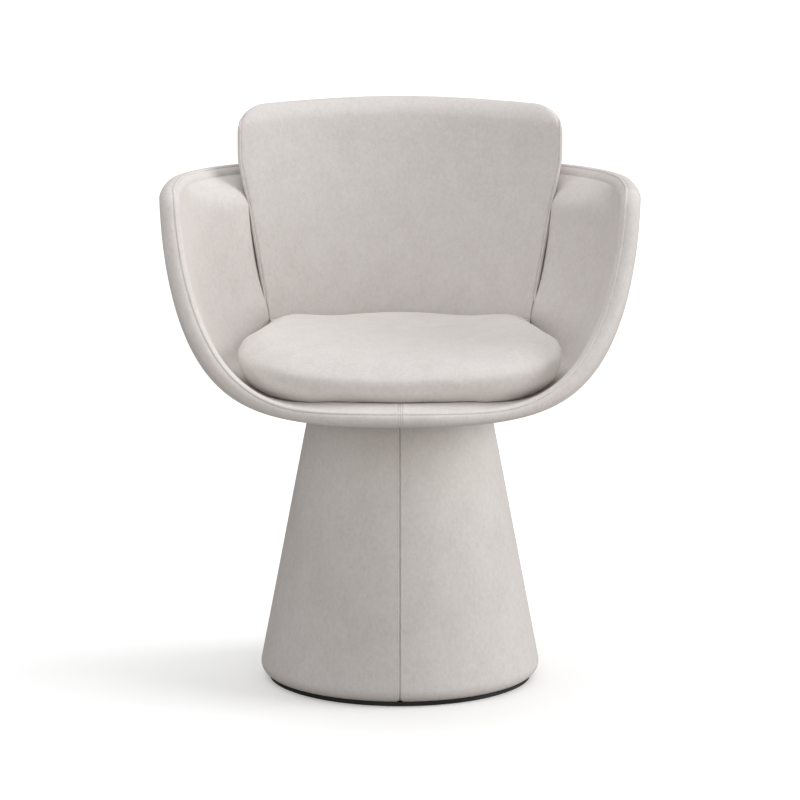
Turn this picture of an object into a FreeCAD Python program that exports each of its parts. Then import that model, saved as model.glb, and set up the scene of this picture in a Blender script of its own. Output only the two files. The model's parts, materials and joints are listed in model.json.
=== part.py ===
import math
import os

import FreeCAD
import Part
import Sketcher
from FreeCAD import Placement, Rotation, Vector

# Upholstered swivel armchair on a round pedestal, in millimetres.
# +Z is up, the sitter looks along -Y, and the origin is on the floor on the swivel axis.

doc = FreeCAD.newDocument("swivel_armchair")

# Driving dimensions
sheet = doc.addObject("Spreadsheet::Sheet", "Sizes")
DIMENSIONS = {
    # pedestal
    "cone_foot_radius": 197.7,
    "cone_top_radius": 124.6,
    "cone_top_level": 379,
    "cloth": 1.6,
    "glue_line": 0.3,
    "cone_foam": 6.2,
    "cone_ply": 4,
    "hem_low": 6.5,
    "hem_width": 24,
    "foot_round": 16,
    "foot_round_inside": 13,
    "board_inset": 3,
    "skin_lift": 5,
    "padding_lift": 12,
    "shoulder_round": 7,
    "seam_gap_angle": 0.1,
    "felt_thick": 1.8,
    "felt_radius": 178,
    "plate_thick": 4.7,
    "plate_radius": 182,
    "board_thick": 18,
    "post_side": 32,
    "post_circle": 84,
    "wood_screw": 5,
    "wood_screw_long": 55,
    "wood_screw_head": 10,
    "screw_head_high": 2.9,
    "screw_play": 0.3,
    "plate_screw_circle": 150,
    "plate_screw_long": 20,
    # swivel bearing
    "disc_radius": 80,
    "disc_thick": 2.5,
    "race_radius": 55,
    "race_wide": 12,
    "race_high": 1.2,
    "ball_radius": 3,
    "ball_count": 24,
    "ball_play": 0.3,
    "ball_level": 382,
    "cage_thick": 1.6,
    "pin_radius": 8,
    "pin_play": 0.06,
    "pin_head_radius": 14,
    "pin_head_high": 3.6,
    "bolt_circle": 69,
    "bolt_radius": 3,
    "bolt_play": 0.4,
    "bolt_head_radius": 5.5,
    "bolt_head_high": 2.1,
    "nut_radius": 4.5,
    "nut_flange_radius": 9,
    "nut_flange_thick": 1.2,
    "nut_long": 9,
    # seat board and steel frame
    "seat_board_radius": 118,
    "seat_board_thick": 16.8,
    "ring_radius": 127,
    "tube_radius": 5,
    "ring_tube_radius": 5.8,
    "bar_wide": 25,
    "bar_thick": 4,
    "dust_inner": 84,
    "dust_outer": 150,
    "dust_thick": 0.8,
    # tub: plan at the top, and how the bowl rises
    "tub_side": 322,
    "tub_front": 434,
    "tub_rear": 290,
    "tub_power_front": 2.75,
    "tub_power_rear": 2.34,
    "heel_power_side": 5.4,
    "heel_power_front": 7.25,
    "tub_floor": 387.2,
    "tub_top": 692,
    "tub_hole": 137,
    # tub: where the sheet ends, its wall and its rounded edge
    "lip_level": 399,
    "arm_level": 672.5,
    "back_rise": 18,
    "rim_end_angle": 67.4,
    "rim_power": 4.85,
    "rim_corner_power": 1.2,
    "wall_floor": 24,
    "wall_lip": 17,
    "wall_arm": 27,
    "wall_from_angle": 25,
    "wall_to_angle": 60,
    "welt_radius": 2.2,
    "welt_angle_lip": 140,
    "welt_angle_arm": 118,
    "welt_turn_from": 4,
    "welt_turn_to": 34,
    "welt_lift": 0.9,
    "welt_room": 0.6,
    "tub_gap": 0.9,
    # tub lining: thicker beside the back pad, and a roll behind the front lip, by angle and share of the wall
    "lining_thick": 46,
    "lining_from_angle": 92,
    "lining_full_angle": 121,
    "lining_fade_angle": 118,
    "lining_to_angle": 136,
    "lining_low_share": 0.26,
    "lining_full_share": 0.72,
    "lining_top_share": 0.83,
    "roll_high": 11,
    "roll_fade_angle": 20,
    "roll_to_angle": 44,
    "roll_low_share": 0.35,
    "roll_full_share": 0.66,
    # seat cushion
    "cushion_low": 415.6,
    "cushion_high": 483,
    "cushion_front": 265,
    "cushion_rear": 160,
    "cushion_half": 217,
    "cushion_widest": 446,
    "cushion_rise": 0.045,
    # back pad
    "pad_foot_y": 163,
    "pad_foot_z": 455,
    "pad_lean": 10.8,
    "pad_high": 350,
    "pad_front_radius": 400,
    "pad_thick": 48.5,
    "pad_rear_radius": 335,
    "pad_foot_half": 189,
    "pad_side_rise": 5.77,
    "pad_top_half": 233.5,
    "pad_corner": 42,
    "pad_foot_corner": 27,
    "pad_top_arch": 29,
    "pad_cap": 16,
    "pad_bulge": 3,
    "panel_thick": 9,
    "panel_cover": 6,
    "panel_low": 22,
    "panel_high": 290,
    "panel_foot_half": 165,
    "panel_top_half": 195,
    "strap_rear": 272,
    "strap_radius": 470,
    "strap_thick": 4,
    "strap_wide": 28,
    "strap_half": 137,
    "strap_low": 588,
    "strap_high": 656,
    "pad_bolt_x": 70,
    "pad_bolt_thick": 6,
    "pad_bolt_head": 13,
}
for row, (name, value) in enumerate(DIMENSIONS.items(), start=1):
    sheet.set("A%d" % row, name)
    sheet.set("B%d" % row, str(value))
    sheet.setAlias("B%d" % row, name)
doc.recompute()


def size(name):
    return float(sheet.get(name))


def bind(thing, **sizes):
    for prop, words in sizes.items():
        thing.setExpression(prop.replace("__", "."), words)


# Names in expressions are written without the sheet's own name and get it here
def cells(words):
    for name in sorted(DIMENSIONS, key=len, reverse=True):
        words = words.replace("<" + name + ">", "Sizes." + name)
    return words


def cylinder(name, radius, height, level, x="0", y="0"):
    thing = doc.addObject("Part::Cylinder", name)
    bind(thing, Radius=cells(radius), Height=cells(height), Placement__Base__x=cells(x),
         Placement__Base__y=cells(y), Placement__Base__z=cells(level))
    return thing


def cone(name, low_radius, high_radius, height, level, x="0", y="0"):
    thing = doc.addObject("Part::Cone", name)
    bind(thing, Radius1=cells(low_radius), Radius2=cells(high_radius), Height=cells(height),
         Placement__Base__x=cells(x), Placement__Base__y=cells(y), Placement__Base__z=cells(level))
    return thing


def box(name, long, wide, high, x, y, z):
    thing = doc.addObject("Part::Box", name)
    bind(thing, Length=cells(long), Width=cells(wide), Height=cells(high),
         Placement__Base__x=cells(x), Placement__Base__y=cells(y), Placement__Base__z=cells(z))
    return thing


def fuse(name, things):
    thing = doc.addObject("Part::MultiFuse", name)
    thing.Shapes = things
    return thing


def group(name, things):
    thing = doc.addObject("Part::Compound", name)
    thing.Links = things
    return thing


def cut(name, base, tool):
    thing = doc.addObject("Part::Cut", name)
    thing.Base = base
    thing.Tool = tool
    return thing


def feature(name, shape):
    thing = doc.addObject("Part::Feature", name)
    thing.Shape = shape
    return thing


def origin_plane(body, role):
    return [item for item in body.Origin.OriginFeatures if item.Role == role][0]


# A closed outline whose corners are each tied to the sheet in both directions
def corner_sketch(body, name, role, corners):
    sketch = body.newObject("Sketcher::SketchObject", name)
    sketch.AttachmentSupport = (origin_plane(body, role), [""])
    sketch.MapMode = "FlatFace"
    count = len(corners)
    places = []
    for across, along in corners:
        places.append(Vector(float(sketch.evalExpression(cells(across))),
                             float(sketch.evalExpression(cells(along))), 0))
    for i in range(count):
        sketch.addGeometry(Part.LineSegment(places[i], places[(i + 1) % count]), False)
    for i in range(count):
        sketch.addConstraint(Sketcher.Constraint("Coincident", i, 2, (i + 1) % count, 1))
    for i, (across, along) in enumerate(corners):
        for kind, words, at in (("DistanceX", across, places[i].x), ("DistanceY", along, places[i].y)):
            index = sketch.addConstraint(Sketcher.Constraint(kind, -1, 1, i, 1, at))
            sketch.setExpression("Constraints[%d]" % index, cells(words))
    return sketch


# A turned piece: a profile of (radius, level) corners revolved about the swivel axis
def turned(name, profile, angle="360"):
    body = doc.addObject("PartDesign::Body", name)
    sketch = corner_sketch(body, name + "_profile", "XZ_Plane", profile)
    spin = body.newObject("PartDesign::Revolution", name + "_spin")
    spin.Profile = sketch
    spin.ReferenceAxis = (sketch, ["V_Axis"])
    spin.Midplane = True
    spin.setExpression("Angle", cells(angle))
    sketch.Visibility = False
    doc.recompute()
    return body


# Rounds the circular edges of a turned piece that lie near the given radius and level
def round_rims(body, name, rims):
    base = body.Tip
    for number, (radius, level, words) in enumerate(rims):
        names = []
        for i, edge in enumerate(base.Shape.Edges, start=1):
            curve = edge.Curve
            if curve.TypeId != "Part::GeomCircle" or abs(curve.Axis.z) < 0.99:
                continue
            if abs(curve.Radius - radius) < 0.5 and abs(curve.Center.z - level) < 0.5:
                names.append("Edge%d" % i)
        rim = body.newObject("PartDesign::Fillet", "%s_round_%d" % (name, number))
        rim.Base = (base, names)
        rim.setExpression("Radius", cells(words))
        doc.recompute()
        base = rim
    body.Tip = base


SLOPE = "(<cone_foot_radius> - <cone_top_radius>) / <cone_top_level>"


# The cone's outer radius at a level, less an inset, as an expression
def cone_at(level, inset):
    return "<cone_foot_radius> - (%s) * (%s) - (%s)" % (SLOPE, level, inset)


def cone_radius(level, inset=0.0):
    slope = (size("cone_foot_radius") - size("cone_top_radius")) / size("cone_top_level")
    return size("cone_foot_radius") - slope * level - inset


# Pedestal

def pedestal_cover(name):
    low, high = "<hem_low>", "<cone_top_level>"
    low_in, high_in = "<hem_low> + <cloth>", "<cone_top_level> - <cloth>"
    body = turned(name, [
        (cone_at(low, "0"), low),
        (cone_at(high, "0"), high),
        ("<cone_top_radius> - <hem_width>", high),
        ("<cone_top_radius> - <hem_width>", high_in),
        (cone_at(high_in, "<cloth>"), high_in),
        (cone_at(low_in, "<cloth>"), low_in),
        ("<cone_foot_radius> - <hem_width>", low_in),
        ("<cone_foot_radius> - <hem_width>", low),
    ], "180 - <seam_gap_angle>")
    bottom, top, cloth = size("hem_low"), size("cone_top_level"), size("cloth")
    round_rims(body, name, [
        (cone_radius(bottom), bottom, "<foot_round>"),
        (cone_radius(bottom + cloth, cloth), bottom + cloth, "<foot_round_inside>"),
        (cone_radius(top), top, "<shoulder_round>"),
        (cone_radius(top - cloth, cloth), top - cloth, "<shoulder_round> - <cloth>"),
    ])
    return body


def cone_layer(name, lift, outer, inner):
    low = "<hem_low> + <cloth> + <glue_line> + " + lift
    high = "<cone_top_level> - <cloth> - <glue_line>"
    return turned(name, [(cone_at(low, outer), low), (cone_at(high, outer), high),
                         (cone_at(high, inner), high), (cone_at(low, inner), low)])


pedestal_cover_right = pedestal_cover("pedestal_cover_right")
pedestal_cover_left = pedestal_cover("pedestal_cover_left")
pedestal_cover_left.Placement = Placement(Vector(), Rotation(Vector(0, 0, 1), 180))
FOAM_OUT = "<cloth> + <glue_line>"
FOAM_IN = FOAM_OUT + " + <cone_foam>"
PLY_OUT = FOAM_IN + " + <glue_line>"
PLY_IN = PLY_OUT + " + <cone_ply>"
BOARD_OUT = PLY_IN + " + <glue_line>"
pedestal_skin = cone_layer("pedestal_skin", "<skin_lift>", PLY_OUT, PLY_IN)
pedestal_padding = cone_layer("pedestal_padding", "<padding_lift>", FOAM_OUT, FOAM_IN)
padding_low = size("hem_low") + size("cloth") + size("glue_line") + size("padding_lift")
padding_high = size("cone_top_level") - size("cloth") - size("glue_line")
padding_in = size("cloth") + size("glue_line")
round_rims(pedestal_padding, "pedestal_padding", [
    (cone_radius(padding_low, padding_in), padding_low, "<cone_foam> - 2"),
    (cone_radius(padding_high, padding_in), padding_high, "<shoulder_round> - 2"),
])

felt_pad = cylinder("felt_base_pad", "<felt_radius>", "<felt_thick>", "0")
PLATE_LOW = "<felt_thick>"
BOARD_LOW = "<hem_low> + <cloth> + <glue_line>"
BOARD_HIGH = BOARD_LOW + " + <board_thick>"
TOP_HIGH = "<cone_top_level> - <cloth> - <glue_line>"
TOP_LOW = TOP_HIGH + " - <board_thick>"


# Places of count points on a circle, as pairs of expressions
def circle_places(radius, count, first):
    places = []
    for i in range(count):
        angle = first + 360.0 * i / count
        places.append(("(%s) * cos(%s deg)" % (radius, angle), "(%s) * sin(%s deg)" % (radius, angle)))
    return places


def round_group(name, radius, height, level, places):
    return [cylinder("%s_%d" % (name, i), radius, height, level, x, y) for i, (x, y) in enumerate(places)]


PLATE_PLACES = circle_places("<plate_screw_circle>", 6, 30)
plate_blank = cylinder("plate_blank", "<plate_radius>", "<plate_thick>", PLATE_LOW)
plate_tools = round_group("plate_hole", "<wood_screw> / 2 + <screw_play>", "<plate_thick> + 2", PLATE_LOW + " - 1",
                          PLATE_PLACES)
plate_sinks = [cone("plate_sink_%d" % i, "<wood_screw_head> / 2 + <screw_play>", "<wood_screw> / 2 + <screw_play>",
                    "<screw_head_high> + 0.1",
                    PLATE_LOW, x, y) for i, (x, y) in enumerate(PLATE_PLACES)]
base_plate = cut("base_plate", plate_blank, fuse("plate_tool", plate_tools + plate_sinks))


# Countersunk wood screws standing head down from a level
def screws_up(name, places, level, long):
    return [fuse("%s_%d" % (name, i), [
        cone("%s_head_%d" % (name, i), "<wood_screw_head> / 2", "<wood_screw> / 2", "<screw_head_high>", level, x, y),
        cylinder("%s_shank_%d" % (name, i), "<wood_screw> / 2", long, level + " + <screw_head_high> - 0.1", x, y)])
        for i, (x, y) in enumerate(places)]


def screws_down(name, places, level, long):
    return [fuse("%s_%d" % (name, i), [
        cone("%s_head_%d" % (name, i), "<wood_screw> / 2", "<wood_screw_head> / 2", "<screw_head_high>",
             level + " - <screw_head_high>", x, y),
        cylinder("%s_shank_%d" % (name, i), "<wood_screw> / 2", long,
                 level + " - <screw_head_high> + 0.1 - " + long, x, y)])
        for i, (x, y) in enumerate(places)]


base_plate_screws = group("base_plate_screws",
                          screws_up("plate_screw", PLATE_PLACES, PLATE_LOW, "<plate_screw_long>"))

BOTTOM_OUT = BOARD_OUT + " + <board_inset>"
bottom_blank = cone("bottom_blank", cone_at(BOARD_LOW, BOTTOM_OUT), cone_at(BOARD_HIGH, BOTTOM_OUT),
                    "<board_thick>", BOARD_LOW)
POST_PLACES = circle_places("<post_circle>", 4, 0)
post_blanks = group("post_blanks", [
    box("post_%d" % i, "<post_side>", "<post_side>", "(%s) - (%s)" % (TOP_LOW, BOARD_HIGH),
        "%s - <post_side> / 2" % x, "%s - <post_side> / 2" % y, BOARD_HIGH)
    for i, (x, y) in enumerate(POST_PLACES)])
post_screws = group("post_screws",
                    screws_up("low_screw", POST_PLACES, BOARD_LOW, "<wood_screw_long>")
                    + screws_down("high_screw", POST_PLACES, TOP_HIGH, "<wood_screw_long>"))
bottom_board = cut("bottom_board", bottom_blank, fuse("bottom_tool", [base_plate_screws, post_screws]))
pedestal_posts = cut("pedestal_posts", post_blanks, post_screws)

# Swivel bearing
BOLT_PLACES = circle_places("<bolt_circle>", 4, 45)
DISC_LOW = TOP_HIGH
DISC_TOP = DISC_LOW + " + <disc_thick>"
UPPER_LOW = "2 * <ball_level> - (%s)" % DISC_TOP
UPPER_TOP = UPPER_LOW + " + <disc_thick>"

top_blank = cone("top_blank", cone_at(TOP_LOW, BOARD_OUT), cone_at(TOP_HIGH, BOARD_OUT), "<board_thick>", TOP_LOW)
top_tools = [cylinder("top_bore", "<pin_head_radius> + 2", "<board_thick> + 2", TOP_LOW + " - 1")]
top_tools += round_group("top_hole", "<nut_radius>", "<board_thick> + 2", TOP_LOW + " - 1", BOLT_PLACES)
top_board = cut("top_board", top_blank, fuse("top_tool", top_tools + [post_screws]))


# One half of the bearing: a disc with a raised race, a groove for the balls and its holes
def bearing_disc(name, disc_level, race_level, pin_hole):
    disc = cylinder(name + "_disc", "<disc_radius>", "<disc_thick>", disc_level)
    rim = cylinder(name + "_rim", "<race_radius> + <race_wide> / 2", "<race_high>", race_level)
    bore = cylinder(name + "_bore", "<race_radius> - <race_wide> / 2", "<race_high>", race_level)
    race = cut(name + "_race", rim, bore)
    groove = doc.addObject("Part::Torus", name + "_groove")
    bind(groove, Radius1=cells("<race_radius>"), Radius2=cells("<ball_radius> + <ball_play>"),
         Placement__Base__z=cells("<ball_level>"))
    tools = [groove, cylinder(name + "_pin_hole", pin_hole, "<disc_thick> + 2", disc_level + " - 1")]
    tools += round_group(name + "_hole", "<bolt_radius> + <bolt_play>", "<disc_thick> + 2",
                         disc_level + " - 1", BOLT_PLACES)
    return cut(name, fuse(name + "_blank", [disc, race]), fuse(name + "_tool", tools))


lower_disc = bearing_disc("swivel_lower_disc", DISC_LOW, DISC_TOP, "<pin_radius> + <pin_play>")
upper_disc = bearing_disc("swivel_upper_disc", UPPER_LOW, "(%s) - <race_high>" % UPPER_LOW, "<pin_radius> - 2")

BALL_PLACES = circle_places("<race_radius>", int(size("ball_count")), 0)


def ball(name, x, y):
    thing = doc.addObject("Part::Sphere", name)
    bind(thing, Radius=cells("<ball_radius>"), Placement__Base__x=cells(x), Placement__Base__y=cells(y),
         Placement__Base__z=cells("<ball_level>"))
    return thing


swivel_balls = group("swivel_balls", [ball("ball_%d" % i, x, y) for i, (x, y) in enumerate(BALL_PLACES)])
cage_rim = cylinder("cage_rim", "<race_radius> + <race_wide> / 2 - 0.8", "<cage_thick>",
                    "<ball_level> - <cage_thick> / 2")
cage_tools = [cylinder("cage_bore", "<race_radius> - <race_wide> / 2 + 0.8", "<cage_thick> + 2",
                       "<ball_level> - <cage_thick> / 2 - 1")]
cage_tools += round_group("cage_hole", "<ball_radius> + 0.15", "<cage_thick> + 2",
                          "<ball_level> - <cage_thick> / 2 - 1", BALL_PLACES)
ball_cage = cut("ball_cage", cage_rim, fuse("cage_tool", cage_tools))

# The pin is riveted into the upper disc and turns in the lower one, with its head underneath
swivel_pin = fuse("swivel_pin", [
    cylinder("pin_head", "<pin_head_radius>", "<pin_head_high>", DISC_LOW + " - 0.4 - <pin_head_high>"),
    cylinder("pin_shank", "<pin_radius>", "(%s) - (%s) + 0.4" % (UPPER_LOW, DISC_LOW), DISC_LOW + " - 0.4"),
    cylinder("pin_neck", "<pin_radius> - 2", "<disc_thick>", UPPER_LOW)])


# Bolts whose heads bear on a bearing disc and whose shanks run into tee nuts
def bolt_set(name, head_level, shank_level, shank_long):
    bolts = []
    for i, (x, y) in enumerate(BOLT_PLACES):
        bolts.append(fuse("%s_%d" % (name, i), [
            cylinder("%s_head_%d" % (name, i), "<bolt_head_radius>", "<bolt_head_high>", head_level, x, y),
            cylinder("%s_shank_%d" % (name, i), "<bolt_radius>", shank_long, shank_level, x, y)]))
    return group(name, bolts)


def nut_set(name, flange_level, barrel_level, thread_level):
    nuts = []
    for i, (x, y) in enumerate(BOLT_PLACES):
        flange = cylinder("%s_flange_%d" % (name, i), "<nut_flange_radius>", "<nut_flange_thick>", flange_level, x, y)
        barrel = cylinder("%s_barrel_%d" % (name, i), "<nut_radius>", "<nut_long>", barrel_level, x, y)
        thread = cylinder("%s_thread_%d" % (name, i), "<bolt_radius>", "<nut_long> + <nut_flange_thick> + 4",
                          "(%s) - 2" % thread_level, x, y)
        nuts.append(cut("%s_%d" % (name, i), fuse("%s_body_%d" % (name, i), [flange, barrel]), thread))
    return group(name, nuts)


lower_disc_bolts = bolt_set("lower_disc_bolts", DISC_TOP, TOP_LOW, "(%s) - (%s)" % (DISC_TOP, TOP_LOW))
LOWER_FLANGE = TOP_LOW + " - <nut_flange_thick>"
lower_tee_nuts = nut_set("lower_tee_nuts", LOWER_FLANGE, TOP_LOW, LOWER_FLANGE)

# Seat board, bolted to the upper disc, and the screws that hold the steel frame down on it
SEAT_TOP = "(%s) + <seat_board_thick>" % UPPER_TOP
BAR_PLACES = circle_places("<ring_radius> - 27", 4, 0)
seat_blank = cylinder("seat_blank", "<seat_board_radius>", "<seat_board_thick>", UPPER_TOP)
seat_tools = round_group("seat_hole", "<nut_radius>", "<seat_board_thick> + 2", "(%s) - 1" % UPPER_TOP,
                         BOLT_PLACES)
seat_tools += round_group("seat_sink", "<nut_flange_radius> + 0.5", "<nut_flange_thick> + 1",
                          "(%s) - <nut_flange_thick>" % SEAT_TOP, BOLT_PLACES)
bar_screws = group("bar_screws", screws_down("bar_screw", BAR_PLACES, "(%s) + <bar_thick>" % SEAT_TOP, "14"))
seat_board = cut("seat_board", seat_blank, fuse("seat_tool", seat_tools + [bar_screws]))
upper_disc_bolts = bolt_set("upper_disc_bolts", "(%s) - <bolt_head_high>" % UPPER_LOW, UPPER_LOW,
                            "(%s) - (%s)" % (SEAT_TOP, UPPER_LOW))
UPPER_BARREL = "(%s) - <nut_flange_thick> - <nut_long>" % SEAT_TOP
upper_tee_nuts = nut_set("upper_tee_nuts", "(%s) - <nut_flange_thick>" % SEAT_TOP, UPPER_BARREL, UPPER_BARREL)

DUST_LOW = "(%s) - <dust_thick> - 0.1" % UPPER_TOP
dust_rim = cylinder("dust_rim", "<dust_outer>", "<dust_thick>", DUST_LOW)
dust_bore = cylinder("dust_bore", "<dust_inner>", "<dust_thick>", DUST_LOW)
dust_cover = cut("dust_cover", dust_rim, dust_bore)

# Steel frame: a ring round the seat board, under two crossed bars that lie on the board
frame_ring = doc.addObject("Part::Torus", "frame_ring")
bind(frame_ring, Radius1=cells("<ring_radius>"), Radius2=cells("<ring_tube_radius>"),
     Placement__Base__z=cells("(%s) - <ring_tube_radius>" % SEAT_TOP))
bars_blank = fuse("bars_blank", [
    box("bar_across", "2 * <ring_radius>", "<bar_wide>", "<bar_thick>", "-<ring_radius>", "-<bar_wide> / 2",
        SEAT_TOP),
    box("bar_along", "<bar_wide>", "2 * <ring_radius>", "<bar_thick>", "-<bar_wide> / 2", "-<ring_radius>",
        SEAT_TOP)])
frame_bars = cut("frame_bars", bars_blank, bar_screws)

# Tub: a bowl whose plan is a rounded oblong and whose wall rises from a flat floor

def ease(value, low, high):
    part = min(max((value - low) / (high - low), 0.0), 1.0)
    return part * part * (3 - 2 * part)


# How far the bowl reaches from the swivel axis at the top, towards a bearing angle
def tub_reach(angle):
    front = math.cos(angle) > 0
    power = size("tub_power_front") if front else size("tub_power_rear")
    along = size("tub_front") if front else size("tub_rear")
    side = abs(math.sin(angle) / size("tub_side")) ** power
    return (side + abs(math.cos(angle) / along) ** power) ** (-1 / power)


def heel_power(angle):
    facing = max(math.cos(angle), 0.0) ** 4
    return size("heel_power_side") + (size("heel_power_front") - size("heel_power_side")) * facing


# Level at which the sheet ends: low at the front lip, high on the arms and the back
def rim_level(angle):
    part = min(max(math.degrees(angle) / size("rim_end_angle"), 0.0), 1.0)
    top = size("arm_level") + size("back_rise") * ((1 - math.cos(angle)) / 2) ** 2
    return size("lip_level") + (top - size("lip_level")) * (1 - (1 - part ** size("rim_power"))
                                                            ** size("rim_corner_power"))


def bowl_point(angle, climb):
    high = size("tub_top") - size("tub_floor")
    out = tub_reach(angle) * math.sin(climb) ** (2 / heel_power(angle))
    return Vector(out * math.sin(angle), -out * math.cos(angle), size("tub_floor") + high * (1 - math.cos(climb)))


# Climb angle from 0 on the floor to 90 degrees at the bowl's top
def climb_at_level(level):
    return math.acos(1 - (level - size("tub_floor")) / (size("tub_top") - size("tub_floor")))


def climb_at_radius(angle, radius):
    return math.asin((radius / tub_reach(angle)) ** (heel_power(angle) / 2))


def bowl_normal(angle, climb):
    step = 1e-4
    round_way = bowl_point(angle + step, climb) - bowl_point(angle - step, climb)
    up_way = bowl_point(angle, climb + step) - bowl_point(angle, climb - step)
    normal = round_way.cross(up_way)
    normal.normalize()
    return normal


def rim_point(angle):
    return bowl_point(angle, climb_at_level(rim_level(angle)))


# Values of a parameter at the given shares of the length of the curve that a function draws
def at_shares(draw, low, high, shares):
    fine = 240
    values = [low + (high - low) * i / fine for i in range(fine + 1)]
    points = [draw(value) for value in values]
    run = [0.0]
    for i in range(fine):
        run.append(run[-1] + points[i].distanceToPoint(points[i + 1]))
    steps = []
    at = 0
    for share in shares:
        want = run[-1] * share
        while at < fine - 1 and run[at + 1] < want:
            at += 1
        part = (want - run[at]) / (run[at + 1] - run[at])
        steps.append(values[at] + (values[at + 1] - values[at]) * part)
    return steps


def even(count):
    return [k / (count - 1) for k in range(count)]


# Goes from its value at the lip to its value on the arms and the back
def from_lip_to_arm(name, angle):
    share = ease(math.degrees(angle), size("wall_from_angle"), size("wall_to_angle"))
    lip, arm = size(name + "_lip"), size(name + "_arm")
    return lip + (arm - lip) * share


# Shares of the way up the wall, closer together towards the rounded edge
WALL_SHARES = [1 - (1 - share) ** 1.6 for share in even(22)]


# Extra thickness of the lining: it fills the corner beside the back pad and makes the roll behind the lip
def lining(angle, share):
    bearing = math.degrees(angle)
    beside = ease(bearing, size("lining_from_angle"), size("lining_full_angle"))
    beside *= 1 - ease(bearing, size("lining_fade_angle"), size("lining_to_angle"))
    top = size("lining_top_share")
    beside *= ease(share, size("lining_low_share"), size("lining_full_share"))
    beside *= 1 - (max(share - top, 0) / (1 - top)) ** 2
    roll = 1 - ease(bearing, size("roll_fade_angle"), size("roll_to_angle"))
    roll *= ease(share, size("roll_low_share"), size("roll_full_share")) * (1 - ease(share, size("roll_full_share"), 1))
    return size("lining_thick") * beside + size("roll_high") * roll


# Section of the tub at one bearing: outer face from the hole to the rim, round the edge, inner face back
class TubSection:
    def __init__(self, angle):
        self.angle = angle
        step = 1e-3
        rim_climb = climb_at_level(rim_level(angle))
        tangent = rim_point(angle + step) - rim_point(angle - step)
        tangent.normalize()
        self.normal = bowl_normal(angle, rim_climb)
        self.outward = self.normal.cross(tangent)
        self.wall = from_lip_to_arm("wall", angle)
        self.seam = size("welt_angle_arm") + (size("welt_angle_lip") - size("welt_angle_arm")) * (
            1 - ease(math.degrees(angle), size("welt_turn_from"), size("welt_turn_to")))
        self.centre = rim_point(angle) - self.normal * (self.wall / 2)
        hole_climb = climb_at_radius(angle, size("tub_hole"))
        self.climbs = at_shares(lambda climb: bowl_point(angle, climb), hole_climb, rim_climb, WALL_SHARES)

    # depth 0 is the outer face and 1 the inner face, inset is measured into the wall
    def face_points(self, depth, inset):
        points = []
        for i, climb in enumerate(self.climbs[:-1]):
            wall = size("wall_floor") + (self.wall - size("wall_floor")) * ease(WALL_SHARES[i], 0, 1)
            into = inset if depth == 0 else wall + lining(self.angle, WALL_SHARES[i]) - inset
            points.append(bowl_point(self.angle, climb) - bowl_normal(self.angle, climb) * into)
        return points

    # turn 0 is the outer side of the rounded edge and 180 degrees the inner side
    def edge_point(self, turn, inset):
        radius = self.wall / 2 - inset
        turn = math.radians(turn)
        return self.centre + (self.normal * math.cos(turn) + self.outward * math.sin(turn)) * radius

    def welt_centre(self):
        return self.edge_point(self.seam, -size("welt_lift"))

    # Half the angle of the edge that the welt's seam takes up
    def welt_half_angle(self):
        return math.degrees((size("welt_radius") + size("welt_room")) / (self.wall / 2))


STATIONS = at_shares(rim_point, 0.0, math.pi, even(37))
sections = [TubSection(angle) for angle in STATIONS]
EDGE_STEPS = 8


def patch(grid):
    surface = Part.BSplineSurface()
    surface.interpolate(grid)
    return surface.toShape()


# The four boundary edges of a patch: first row, last row, first column, last column
def patch_edges(face, grid):
    def matching(one, two):
        middle = one[len(one) // 2] if two is None else two
        return min(face.Edges, key=lambda edge: edge.distToShape(Part.Vertex(middle))[0]
                   + edge.distToShape(Part.Vertex(one[0]))[0] + edge.distToShape(Part.Vertex(one[-1]))[0])
    first_row = matching(grid[0], None)
    last_row = matching(grid[-1], None)
    first_column = matching([row[0] for row in grid], None)
    last_column = matching([row[-1] for row in grid], None)
    return first_row, last_row, first_column, last_column


def closed_solid(faces):
    shell = Part.Shell(faces)
    shell.sewShape()
    solid = Part.Solid(shell)
    if solid.Volume < 0:
        solid.reverse()
    return solid


# A sheet of cloth between two grids of points of the same layout
def sheet_solid(outer, inner):
    outer_face, inner_face = patch(outer), patch(inner)
    faces = [outer_face, inner_face]
    for one, two in zip(patch_edges(outer_face, outer), patch_edges(inner_face, inner)):
        faces.append(Part.makeRuledSurface(one, two))
    return closed_solid(faces)


# A moulding whose one patch wraps from its outer face to its inner face
def wrapped_solid(grid):
    face = patch(grid)
    first, last, low, high = patch_edges(face, grid)
    faces = [face, Part.makeRuledSurface(low, high)]
    for edge, row in ((first, grid[0]), (last, grid[-1])):
        faces.append(Part.Face(Part.Wire([edge, Part.makeLine(row[0], row[-1])])))
    return closed_solid(faces)


def tub_grid(inset, kind):
    grid = []
    for section in sections:
        seam, gap = section.seam, section.welt_half_angle()
        outer = section.face_points(0, inset)
        inner = list(reversed(section.face_points(1, inset)))
        if kind == "outer":
            turns = [(seam - gap) * i / EDGE_STEPS for i in range(EDGE_STEPS + 1)]
            row = outer + [section.edge_point(turn, inset) for turn in turns]
        elif kind == "inner":
            start = seam + gap
            turns = [start + (180 - start) * i / 2 for i in range(3)]
            row = [section.edge_point(turn, inset) for turn in turns] + inner
        else:
            turns = [180.0 * i / EDGE_STEPS for i in range(EDGE_STEPS + 1)]
            row = outer + [section.edge_point(turn, inset) for turn in turns] + inner
        grid.append(row)
    return grid


MIRROR = (Vector(), Vector(1, 0, 0))


def right_half(shape):
    keep = Part.makeBox(1000, 1000, 1000, Vector(0, -500, 0))
    return shape.common(keep).Solids


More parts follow.
